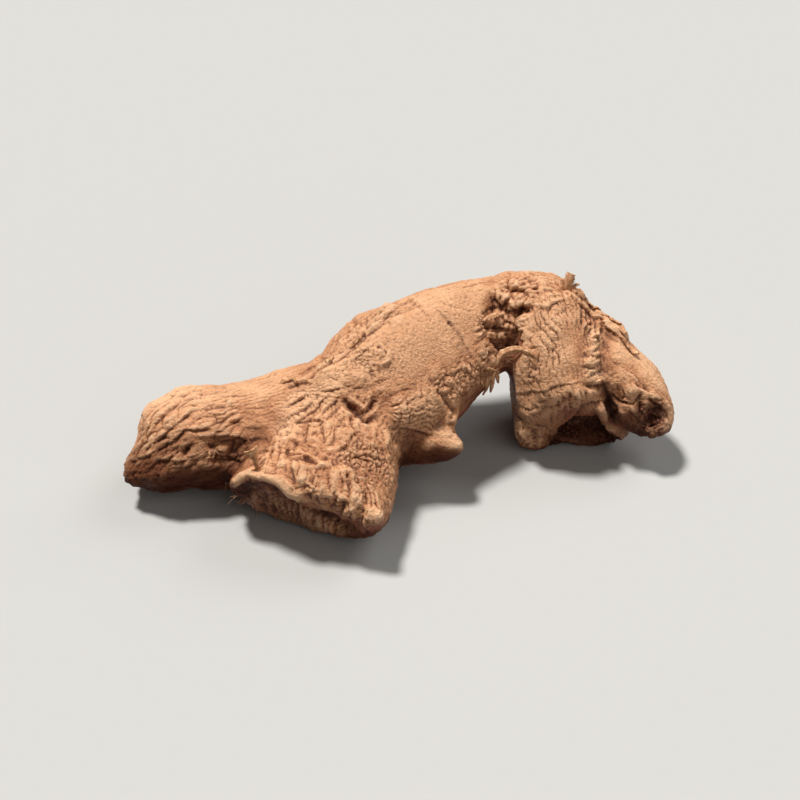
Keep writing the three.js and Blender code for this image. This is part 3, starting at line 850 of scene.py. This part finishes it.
def wrinkles(skin, run, depths):
    """The height of all the wrinkles in each place."""
    side = np.cross(skin.facing, run)
    lift = np.zeros(len(skin.places), np.float32)
    for seed, field in enumerate(FIELDS):
        if field in RIPPLES:
            wavelength, stray, across, narrow = RIPPLES[field]
            wanted = depths[field] > 0.02
            pattern = ripples(skin, wanted, side if across else run, wavelength, stray, narrow, 10 * seed)
        elif field in CRUMPLES:
            size = CRUMPLES[field]
            pattern = crumples(warped(skin.places, 1.4 * size, 0.5 * size, 10 * seed), size, 10 * seed + 3)
        else:
            size = CELLS[field]
            places = warped(skin.places, 1.6 * size, 0.5 * size, 10 * seed)
            if field == "lozenges":
                way = np.array(FINGER_WAY)
                places = places - LOZENGE_STRETCH * (places @ way)[:, None] * way
            pattern = cells(places, size, 10 * seed)
        uneven = np.clip(0.9 + 1.1 * noise(skin.places, 4.5, UNEVEN_SEED + seed), 0.15, 1.9)
        lift += WRINKLE_DEPTH * depths[field] * uneven * (pattern - MIDDLE_HEIGHT)
    return lift


def grow_skin(node):
    """The sculpted skin over a copy of the CAD node."""
    copy = added("coarse", node.data.copy())
    coarse = Skin(remeshed(copy, COARSE_VOXEL, "coarse skin"))
    coarse.relax(EVENED)
    for points, reach, height in FORMS.values():
        coarse.push(swelling(coarse, points, reach, height))
    coarse.relax(1)

    skin = Skin(remeshed(coarse.thing, FINE_VOXEL, "ginger_skin"))
    skin.relax(EVENED)
    skin.push(sum(height * noise(skin.places, size, seed) for height, size, seed in LARGE_AND_SMALL))
    shares, run = lobe_fields(skin)

    lift = wrinkles(skin, run, wrinkle_depths(skin, shares))
    for kind, points, reach, height in LINES.values():
        lift += line(skin, kind, points, reach, height)
    for seed, (kind, starts, ends, count, reach, height) in enumerate(ROWS.values()):
        lift += row_of_lines(skin, kind, starts, ends, count, reach, height, seed)
    down = np.array([0, 0, -1], np.float32) + skin.facing * skin.facing[:, 2:]
    skin.push(lift, skin.facing + SAG * down)
    skin.places[:, 2] = np.maximum(skin.places[:, 2], 0)  # it lies on the floor
    skin.refresh()
    return skin


def remeshed(thing, voxel, name):
    """A new object in place of the thing, with its surface in even quads of about the voxel's size."""
    modifier = thing.modifiers.new("even quads", "REMESH")
    modifier.mode = "VOXEL"
    modifier.voxel_size = voxel * MM
    return carried_out(thing, name)


def keep(skin, name, values):
    """Stores one value a point, for the material."""
    store = skin.thing.data.attributes.new(name, "FLOAT", "POINT")
    store.data.foreach_set("value", values.astype(np.float32))


def keep_heights(skin):
    """Keeps how far each place stands over the skin round it: -1 deep, 1 high. The material paints shade in
    the deep places and highlights on the high ones.
    """
    def height_over(places, full):
        return np.clip(((skin.places - places) * skin.facing).sum(1) / full, -1, 1)

    close = skin.spread(skin.places, CLOSE)
    middle = skin.spread(close, MIDDLE)
    broad = skin.spread(middle, BROAD)
    keep(skin, "crease", height_over(close, 0.03) * 0.5 + height_over(middle, 0.2) * 0.5)
    keep(skin, "swell", height_over(broad, 0.8))


def keep_shades(skin):
    """Keeps where the skin is broken, where light and shade are painted on it, and where shade is painted on
    what faces down, from 0 to 1 each.
    """
    broken = np.zeros(len(skin.places), np.float32)
    for place in ("front break", "break of the right stub", "rough end of the short finger"):
        points, reach, _ = PATCHES[place]
        broken = np.maximum(broken, patch(skin, points, reach, 0.3))
    keep(skin, "broken", broken)
    tone = np.zeros(len(skin.places), np.float32)
    for points, reach, much in PAINTED_LIGHT_AND_SHADE.values():
        here = patch(skin, points, reach, 0.7)
        tone = tone * (1 - here) + much * here
    # painted light where the tone is above 0, painted shade where it is below 0
    pale = np.clip(tone, 0, 1)
    # painted shade on what faces down, less where light is painted
    painted_underside_shade = np.clip(0.35 - 1.7 * skin.spread(skin.facing[:, 2], UNDERSIDE), 0, 1)
    keep(skin, "under", painted_underside_shade * (1 - pale))
    keep(skin, "pale", pale)
    keep(skin, "painted_shade", np.clip(-tone, 0, 1))


def finished_piece(skin, name):
    """The skin thinned to the triangles allowed, with what its material needs kept on its points."""
    keep_heights(skin)
    keep_shades(skin)
    triangles = 2 * len(skin.thing.data.polygons)
    if triangles > MOST_TRIANGLES:
        thin = skin.thing.modifiers.new("thin", "DECIMATE")
        thin.ratio = MOST_TRIANGLES / triangles
    made = carried_out(skin.thing, name)
    made.data.shade_smooth()
    return made


# ---------------------------------------------------------------- papery remnants and root fibres

# Strips of dry scale leaf: the way the strip faces, its middle line, and its width at the start, the middle
# and the end.
STRIPS = {
    "strip across the arch": (
        (-0.2, -0.8, 0.6),
        [(18, 2.6, 19.2), (19.2, 4.8, 21.8), (21.4, 6.8, 24), (24.4, 7, 25.4), (27.2, 5.4, 26),
         (29, 4.6, 24.8)], (0.7, 1.4, 0.9)),
    "lower fray of the strip": (
        (-0.3, -0.9, 0.3), [(19, 4.2, 21.4), (18.2, 2.7, 19), (17.4, 2.4, 17.2)], (1.2, 0.8, 0.2)),
    "middle fray of the strip": (
        (0.1, -0.9, 0.3), [(19.4, 4.6, 21.8), (19.2, 3.2, 19.4), (19, 3.2, 17.4)], (1.2, 0.9, 0.2)),
    "inner fray of the strip": (
        (0.4, -0.9, 0.3), [(19.8, 5.2, 22), (20.2, 4.4, 20), (20.4, 4.8, 18.4)], (1.0, 0.7, 0.2)),
    "upper fork of the strip": (
        (-0.2, -0.7, 0.7), [(25, 7, 25.8), (26.6, 6.6, 26.8), (27.6, 6.6, 27.6)], (1.0, 0.8, 0.3)),
    "lower fork of the strip": (
        (-0.2, -0.9, 0.2), [(25, 7, 25.6), (26.8, 5.2, 25), (27.8, 4, 24)], (0.9, 0.8, 0.3)),
    "flap on the crest": (
        (0, -0.75, 0.65), [(34.6, 18, 33.6), (35, 18.6, 35), (35.8, 19.4, 36.8)], (2.0, 2.4, 1.6)),
    "torn side of the crest flap": (
        (0.2, -0.8, 0.5), [(35.8, 18, 33.4), (36.8, 18.4, 34.2), (37.6, 18.4, 34.6)], (1.2, 0.8, 0.2)),
    "fan over the front stub": (
        (0.1, -0.7, 0.75), [(-29.5, -20.5, 17.2), (-29.9, -20.2, 19), (-30.8, -19.4, 21.6)],
        (0.7, 1.1, 3.2)),
    "upper flap of the neck": (
        (-0.4, -0.6, 0.7), [(19.4, 12, 31.4), (17.8, 10.8, 31.6), (16, 9.6, 31.4)], (1.2, 1.2, 0.4)),
    "middle flap of the neck": (
        (-0.4, -0.7, 0.6), [(20, 9, 28.4), (18.4, 8.2, 29.2), (16.6, 7.2, 29)], (1.2, 1.1, 0.3)),
    "lower flap of the neck": (
        (-0.5, -0.7, 0.5), [(19.4, 7.2, 26), (18, 6.2, 26.8), (16.6, 5.2, 26.4)], (1.1, 1.0, 0.3)),
    "low flap beside the strip": (
        (-0.5, -0.8, 0.3), [(19, 6, 21.6), (17.8, 4.8, 23), (16.8, 4, 23.6)], (1.2, 1.1, 0.3)),
}

# Flakes that lie on the skin: their middle line, their width at the start, the middle and the end, and how
# far the end lifts.
SCALES = {
    "first flake of the crest": ([(35.8, 18, 33), (37, 18.2, 32), (38.8, 18.2, 30)], (1.4, 2.8, 1.4), 0.3),
    "second flake of the crest": (
        [(38.8, 18.2, 30.6), (40.2, 18, 29), (41.8, 17.6, 28)], (1.4, 2.8, 1.4), 0.3),
    "third flake of the crest": ([(41, 16.8, 28.2), (42.8, 16, 27), (44, 15, 26.6)], (1.2, 2.4, 1.0), 0.4),
    "fourth flake of the crest": (
        [(43.8, 15.6, 26.8), (45.4, 14.4, 26), (47, 12.8, 25.2)], (1.2, 2.4, 1.0), 0.6),
    "last flake of the crest": (
        [(46.4, 12.6, 25.4), (47.6, 11, 25), (48.4, 9.6, 24.4)], (0.5, 1.1, 0.3), 0.6),
    "tab of the short finger": (
        [(48.4, 10.4, 24), (49.3, 9.8, 24), (50.2, 8.9, 23.6)], (1.4, 1.2, 0.7), 0.8),
    "flake on the stem's edge": (
        [(-17, -1, 26.5), (-15.6, 0, 27.5), (-14.4, 1.4, 28.4)], (0.5, 1.3, 0.5), 0.6),
    "second flake on the stem's edge": (
        [(-11, 2.6, 30.4), (-9.4, 4, 31.4), (-8, 5.4, 32.4)], (0.5, 1.1, 0.4), 0.5),
    "flake over the first crack": (
        [(-26, -0.5, 22.6), (-24, -1, 23.4), (-22, -1.2, 24)], (0.6, 1.4, 0.5), 0.8),
}

# Tufts of root fibre: the place they grow from, the way they reach, how many, and how long.
TUFTS = {
    "in the bud scar": ((-39, -12.5, 15.5), (0.3, -0.9, 0.3), 7, 2.6),
    "under the finger": ((-36.5, -13, 7), (0.2, -0.9, -0.4), 4, 3.0),
    "at the corner of the front stub": ((-33.5, -17.5, 5.5), (-0.5, -0.7, 0.1), 9, 2.6),
    "under the front stub's corner": ((-31, -18, 2.5), (-0.3, -0.9, 0.2), 5, 2.0),
    "at the neck's left edge": ((17.5, 6.5, 26), (-0.6, -0.7, 0.5), 7, 2.0),
    "above it": ((17, 10, 30.8), (-0.7, -0.6, 0.5), 6, 1.8),
    "on the crest": ((36, 17, 32.4), (0.5, -0.2, 0.9), 5, 1.4),
    "beside the arch": ((16.5, 3.4, 22), (0.3, -0.7, -0.3), 6, 1.8),
    "on the fin": ((45.5, 4.5, 7), (0.5, -0.8, 0.1), 4, 1.4),
}


def smooth_line(points, count):
    """Evenly spaced points along a smooth curve through some points."""
    points = np.array(points, float)
    points = np.concatenate([[2 * points[0] - points[1]], points, [2 * points[-1] - points[-2]]])
    curve = []
    for a, b, c, d in zip(points, points[1:], points[2:], points[3:]):
        slope, bend, twist = c - a, 2 * a - 5 * b + 4 * c - d, 3 * b - a - 3 * c + d
        for t in np.linspace(0, 1, 12, endpoint=False):
            curve.append(0.5 * (2 * b + slope * t + bend * t**2 + twist * t**3))
    curve.append(points[-2])
    return even_points(curve, count)


class Build:
    """Gathers points and faces of many small shapes into one mesh."""

    def __init__(self):
        self.points, self.faces = [], []

    def grid(self, rows, closed):
        """A sheet, or a closed tube, through rows of points."""
        first = len(self.points)
        across = len(rows[0])
        for row in rows:
            self.points += [tuple(point) for point in row]
        for i in range(len(rows) - 1):
            for j in range(across if closed else across - 1):
                here, beside = i * across + j, i * across + (j + 1) % across
                self.faces.append([first + k for k in (here, beside, beside + across, here + across)])

    def piece(self, name, material, thickness=0):
        """Makes the one piece that holds all the shapes."""
        mesh = bpy.data.meshes.new(name)
        mesh.from_pydata([tuple(np.array(point) * MM) for point in self.points], [], self.faces)
        made = added(name, mesh)
        if thickness:
            solid = made.modifiers.new("thickness", "SOLIDIFY")
            solid.thickness = thickness * MM
            solid.offset = 0
        mesh.materials.append(material)
        mesh.shade_smooth()
        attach(made, "root")


class Ground:
    """The finished surface of the skin, for what grows or lies on it."""

    EVERY = 4  # the surface is sampled at every so many points of the skin

    def __init__(self, skin):
        self.places, self.facing = skin.places[::self.EVERY], skin.facing[::self.EVERY]
        self.tree = tree_of(self.places)

    def nearest(self, points):
        """The place on the surface nearest to each point, and the way it faces there."""
        which = [self.tree.find(point)[1] for point in points]
        return self.places[which].astype(float), self.facing[which].astype(float)


def strip(build, facing, middle, widths, seed):
    """A strip of dry leaf along a middle line: curled across, ribbed along, with ragged edges."""
    rng = np.random.default_rng(seed)
    along = np.gradient(middle, axis=0)
    side = unit(np.cross(along, facing))
    up = unit(np.cross(side, along))
    share = np.linspace(0, 1, len(middle))
    width = np.interp(share, (0, 0.5, 1), widths)
    ragged = [rng.normal(0, 0.17, len(middle)) for _ in range(2)]
    ribs = rng.normal(0, 0.08, STRANDS)
    twist = rng.uniform(-0.5, 0.5)
    rows = []
    for k, centre in enumerate(middle):
        turn = twist * (share[k] - 0.5)
        row = []
        for j, across in enumerate(np.linspace(-1, 1, STRANDS)):
            far = 0.5 * width[k] * (across + ragged[across > 0][k] * across**2)
            curl = 0.18 * width[k] * (1 - across**2) + ribs[j] + turn * far
            row.append(centre + side[k] * far + up[k] * curl)
        rows.append(row)
    build.grid(rows, closed=False)


def fibre(build, start, way, length, rng):
    """A thin bent root fibre that tapers to its tip."""
    bend = rng.normal(0, 0.45, 3)
    centre = np.array(start, float)
    way = np.array(way, float)
    rows = []
    for k in range(FIBRE_STEPS):
        way = way + bend * 0.25
        way = way / np.linalg.norm(way)
        side = np.cross(way, (0.3, 0.5, 0.8))
        side = side / np.linalg.norm(side)
        other = np.cross(way, side)
        radius = FIBRE_RADIUS * (1 - 0.75 * k / (FIBRE_STEPS - 1))
        turns = np.linspace(0, 2 * np.pi, FIBRE_SIDES, endpoint=False)
        rows.append([centre + radius * (np.cos(t) * side + np.sin(t) * other) for t in turns])
        centre = centre + way * length / FIBRE_STEPS
    build.grid(rows, closed=True)


def scale_remnants(ground):
    """The strips that stand off the skin and the flakes that lie on it, as one piece."""
    build = Build()
    for seed, (facing, points, widths) in enumerate(STRIPS.values()):
        middle = smooth_line(points, LEAF_POINTS)
        root, _ = ground.nearest(middle[:1])
        strip(build, facing, middle + root - middle[0], widths, seed)
    for seed, (points, widths, lift) in enumerate(SCALES.values(), len(STRIPS)):
        place, facing = ground.nearest(smooth_line(points, LEAF_POINTS))
        for _ in range(4):
            place[1:-1] = (place[:-2] + place[2:]) / 2
            facing[1:-1] = (facing[:-2] + facing[2:]) / 2
        share = np.linspace(0, 1, len(place))[:, None]
        strip(build, facing, place + facing * lift * share, widths, seed)
    build.piece("scale_remnants", papery_material(), LEAF_THICKNESS)


def root_fibres(ground):
    """All the tufts of fibre, as one piece."""
    build = Build()
    rng = np.random.default_rng(FIBRE_SEED)
    for place, way, count, length in TUFTS.values():
        for _ in range(count):
            start, _ = ground.nearest([np.array(place) + rng.normal(0, 0.7, 3)])
            stray = np.array(way) + rng.normal(0, 0.45, 3)
            fibre(build, start[0], stray, length * rng.uniform(0.6, 1.3), rng)
    build.piece("root_fibres", fibre_material())


# ---------------------------------------------------------------- materials

def colour(red, green, blue):
    """A display colour, 0 to 255 each, as the linear colour that a shader takes."""
    def linear(value):
        value /= 255
        return value / 12.92 if value <= 0.04045 else ((value + 0.055) / 1.055) ** 2.4
    return (linear(red), linear(green), linear(blue), 1)


class Shading:
    """A material under construction: each call adds one node and returns its output."""

    def __init__(self, name):
        self.material = bpy.data.materials.new(name)
        self.material.use_nodes = True
        self.nodes = self.material.node_tree.nodes
        self.links = self.material.node_tree.links
        self.shader = self.nodes["Principled BSDF"]

    def put(self, socket, value):
        """Links a node's output to the socket, or sets a constant on it."""
        if isinstance(value, bpy.types.NodeSocket):
            self.links.new(value, socket)
        else:
            socket.default_value = value

    def attribute(self, name):
        """A value kept on the points."""
        node = self.nodes.new("ShaderNodeAttribute")
        node.attribute_name = name
        return node.outputs["Fac"]

    def seen(self):
        """1 for what the camera or a gloss sees, 0 for light on its way."""
        path = self.nodes.new("ShaderNodeLightPath")
        total = path.outputs["Is Camera Ray"]
        for way in ("Is Glossy Ray", "Is Transmission Ray"):
            node = self.nodes.new("ShaderNodeMath")
            node.operation = "MAXIMUM"
            self.links.new(total, node.inputs[0])
            self.links.new(path.outputs[way], node.inputs[1])
            total = node.outputs[0]
        return total

    def noise(self, size, detail=3, roughness=0.55, stretch=(1, 1, 1)):
        """Noise in the object's space, with features of about the size given in millimetres."""
        place = self.nodes.new("ShaderNodeTexCoord").outputs["Object"]
        scale = self.nodes.new("ShaderNodeMapping")
        self.links.new(place, scale.inputs["Vector"])
        scale.inputs["Scale"].default_value = stretch
        node = self.nodes.new("ShaderNodeTexNoise")
        self.links.new(scale.outputs["Vector"], node.inputs["Vector"])
        node.inputs["Scale"].default_value = 1 / (size * MM)
        node.inputs["Detail"].default_value = detail
        node.inputs["Roughness"].default_value = roughness
        return node.outputs["Fac"]

    def cracks(self, size, waver):
        """The distance from a wavering net of fine creases, with meshes of about the size given."""
        place = self.nodes.new("ShaderNodeTexCoord").outputs["Object"]
        stray = self.nodes.new("ShaderNodeTexNoise")
        stray.inputs["Scale"].default_value = 1 / (1.5 * size * MM)
        self.links.new(place, stray.inputs["Vector"])
        shift = self.nodes.new("ShaderNodeVectorMath")
        shift.operation = "MULTIPLY_ADD"
        self.links.new(stray.outputs["Color"], shift.inputs[0])
        shift.inputs[1].default_value = (waver * MM,) * 3
        self.links.new(place, shift.inputs[2])
        net = self.nodes.new("ShaderNodeTexVoronoi")
        net.feature = "DISTANCE_TO_EDGE"
        net.inputs["Scale"].default_value = 1 / (size * MM)
        self.links.new(shift.outputs[0], net.inputs["Vector"])
        return net.outputs["Distance"]

    def ramp(self, value, *stops):
        """A colour ramp: stops are pairs of a position and a colour."""
        node = self.nodes.new("ShaderNodeValToRGB")
        self.links.new(value, node.inputs["Fac"])
        elements = node.color_ramp.elements
        while len(elements) < len(stops):
            elements.new(1)
        for element, (position, shade) in zip(elements, stops):
            element.position = position
            element.color = shade
        return node.outputs["Color"]

    def span(self, value, low, high, to_low=0.0, to_high=1.0):
        """The value's range from low to high, mapped on another."""
        node = self.nodes.new("ShaderNodeMapRange")
        for socket, given in zip(node.inputs, (value, low, high, to_low, to_high)):
            self.put(socket, given)
        return node.outputs["Result"]

    def mix(self, share, a, b, kind="MIX"):
        """The share of b over a."""
        node = self.nodes.new("ShaderNodeMix")
        node.data_type = "RGBA"
        node.blend_type = kind
        colours = [socket for socket in node.inputs if socket.type == "RGBA"]
        self.put(node.inputs[0], share)
        self.put(colours[0], a)
        self.put(colours[1], b)
        return next(socket for socket in node.outputs if socket.type == "RGBA")

    def bump(self, height, depth, below=None):
        """A bump from a height between 0 and 1, with its full depth in millimetres."""
        node = self.nodes.new("ShaderNodeBump")
        node.inputs["Distance"].default_value = depth * MM
        self.links.new(height, node.inputs["Height"])
        if below is not None:
            self.links.new(below, node.inputs["Normal"])
        return node.outputs["Normal"]


def skin_material():
    """Dried ginger skin: warm tan, with painted highlights on its ridges and swellings, painted shade in its
    creases, hollows and undersides, and a dull sheen.
    """
    skin = Shading("ginger skin")
    crease = skin.attribute("crease")
    swell = skin.attribute("swell")
    body = skin.ramp(
        skin.noise(9, 4),
        (0.32, colour(220, 150, 100)),
        (0.52, colour(230, 162, 112)),
        (0.70, colour(241, 178, 128)),
    )
    flecks = skin.ramp(
        skin.noise(0.8, 5, 0.7),
        (0.35, colour(214, 190, 172)),
        (0.62, colour(255, 255, 255)),
    )
    body = skin.mix(0.6, body, flecks, "MULTIPLY")
    body = skin.mix(skin.attribute("broken"), body, broken_colour(skin))
    # painted shade in broad hollows and painted highlight on swellings
    body = skin.mix(skin.span(swell, 0.15, -0.85, 0.0, 0.9), body, colour(104, 56, 30))
    body = skin.mix(skin.span(swell, 0.0, 0.9, 0.0, 0.6), body, colour(255, 204, 156))
    # painted light: paler colour where the table of painted light and shade is above 0
    body = skin.mix(skin.span(skin.attribute("pale"), 0.0, 1.0, 0.0, 0.8), body, colour(255, 198, 150))
    # painted shade in the creases and painted highlight on the ridges
    body = skin.mix(skin.span(crease, -0.1, -0.9, 0.0, 0.8), body, colour(96, 48, 24))
    body = skin.mix(skin.span(crease, 0.2, 1.0, 0.0, 0.40), body, colour(255, 212, 172))
    # painted shade: darker colour on what faces down
    body = skin.mix(skin.attribute("under"), body, colour(160, 110, 78), "MULTIPLY")
    # painted shade: darker colour where the table of painted light and shade is below 0
    painted_shade = skin.attribute("painted_shade")
    body = skin.mix(painted_shade, body, colour(112, 74, 52), "MULTIPLY")
    skin.put(skin.shader.inputs["Roughness"], skin.span(skin.noise(1.5, 4), 0.3, 0.7, 0.36, 0.56))
    skin.put(skin.shader.inputs["Specular IOR Level"], skin.span(painted_shade, 0.0, 1.0, 0.5, 0.1))
    net = skin.cracks(0.9, 0.5)
    fine_net = skin.cracks(0.45, 0.3)
    # painted shade along the lines of the fine crease net
    body = skin.mix(skin.span(net, 0.0, 0.10, 0.12, 0.0), body, colour(120, 70, 42))
    skin.put(skin.shader.inputs["Base Color"], body)
    grain = skin.bump(skin.noise(1.3, 3, 0.5), 0.30)
    grain = skin.bump(skin.noise(0.55, 4, 0.65), 0.50, below=grain)
    grain = skin.bump(skin.span(net, 0.0, 0.18), 0.035, below=grain)
    grain = skin.bump(skin.span(fine_net, 0.0, 0.2), 0.02, below=grain)
    skin.put(skin.shader.inputs["Normal"], grain)
    return skin.material


def broken_colour(skin):
    """The dried flesh where the rhizome was broken: darker, in coarse specks and short fibres."""
    return skin.ramp(
        skin.noise(1.1, 5, 0.75, stretch=(0.5, 1, 1.6)),
        (0.36, colour(140, 84, 56)),
        (0.52, colour(180, 116, 80)),
        (0.68, colour(214, 150, 110)),
    )


def papery_material():
    """Dry scale leaf: streaked tan, thin and dull."""
    leaf = Shading("papery scale")
    body = leaf.ramp(
        leaf.noise(0.8, 5, 0.7),
        (0.32, colour(150, 96, 62)),
        (0.50, colour(208, 150, 104)),
        (0.68, colour(244, 200, 154)),
    )
    leaf.put(leaf.shader.inputs["Base Color"], body)
    leaf.put(leaf.shader.inputs["Roughness"], 0.65)
    leaf.put(leaf.shader.inputs["Normal"], leaf.bump(leaf.noise(0.35, 4), 0.15))
    return leaf.material


def fibre_material():
    """Dry root fibre: brown to straw, and dull."""
    look = Shading("root fibre")
    body = look.ramp(look.noise(1.2, 3), (0.35, colour(128, 82, 52)), (0.65, colour(214, 164, 120)))
    look.put(look.shader.inputs["Base Color"], body)
    look.put(look.shader.inputs["Roughness"], 0.7)
    return look.material


# ---------------------------------------------------------------- stage

LOOK_AT = (-0.61, 7.09, 12)  # the middle of the picture
CAMERA_ELEVATION = 40  # degrees
CAMERA_DISTANCE = 400
PICTURE_WIDTH = 173  # at that distance
SENSOR = 36
CLIP_START = 0.01  # metres
FLOOR_SIZE = 8  # metres


def camera():
    """The camera, which looks down at the rhizome from its front."""
    tilt = math.radians(CAMERA_ELEVATION)
    back = Vector((0, -math.cos(tilt), math.sin(tilt)))
    data = bpy.data.cameras.new("camera")
    data.sensor_width = SENSOR
    data.lens = SENSOR * CAMERA_DISTANCE / PICTURE_WIDTH
    data.clip_start = CLIP_START
    made = added("camera", data)
    made.location = (Vector(LOOK_AT) + back * CAMERA_DISTANCE) * MM
    made.rotation_euler = back.to_track_quat("Z", "Y").to_euler()
    bpy.context.scene.camera = made


def lamp(name, way, softness, strength, shade):
    """Even light from a way, as soft as a window that spans the angle given in degrees."""
    data = bpy.data.lights.new(name, "SUN")
    data.angle = math.radians(softness)
    data.energy = strength
    data.color = shade
    made = added(name, data)
    made.rotation_euler = Vector(way).to_track_quat("Z", "Y").to_euler()


def floor():
    """A plain floor, pale to the camera, that sends little light back up under the rhizome."""
    bpy.ops.mesh.primitive_plane_add(size=FLOOR_SIZE, location=(0, 0, 0))
    made = bpy.context.object
    made.name = "floor"
    look = Shading("pale floor")
    look.put(look.shader.inputs["Roughness"], 0.9)
    shade = look.mix(look.seen(), colour(120, 120, 118), colour(188, 187, 184))
    look.put(look.shader.inputs["Base Color"], shade)
    made.data.materials.append(look.material)


def world():
    """A soft even light all round, and a pale background for the camera."""
    made = bpy.data.worlds.new("studio")
    bpy.context.scene.world = made
    made.use_nodes = True
    nodes, links = made.node_tree.nodes, made.node_tree.links
    light = nodes["Background"]
    light.inputs["Color"].default_value = (1, 0.98, 0.96, 1)
    light.inputs["Strength"].default_value = 0.08
    seen = nodes.new("ShaderNodeBackground")
    seen.inputs["Color"].default_value = colour(236, 236, 233)
    choose = nodes.new("ShaderNodeMixShader")
    links.new(nodes.new("ShaderNodeLightPath").outputs["Is Camera Ray"], choose.inputs[0])
    links.new(light.outputs[0], choose.inputs[1])
    links.new(seen.outputs[0], choose.inputs[2])
    links.new(choose.outputs[0], nodes["World Output"].inputs["Surface"])


# ---------------------------------------------------------------- the scene

camera()
skin = grow_skin(frame["nodes"]["ginger_rhizome"])
ground = Ground(skin)
rhizome = finished_piece(skin, "rhizome_skin")
rhizome.data.materials.clear()
rhizome.data.materials.append(skin_material())
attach(rhizome, "root")
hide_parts("ginger_rhizome")

scale_remnants(ground)
root_fibres(ground)

floor()
world()
lamp("key", (-0.28, 0.22, 0.93), 10, 3.85, (1, 0.985, 0.96))
lamp("window", (0.60, 0.45, 0.66), 35, 0.85, (0.97, 0.99, 1))
lamp("fill", (0.55, -0.60, 0.60), 60, 0.55, (1, 0.98, 0.95))

bpy.context.scene.view_settings.view_transform = "Standard"
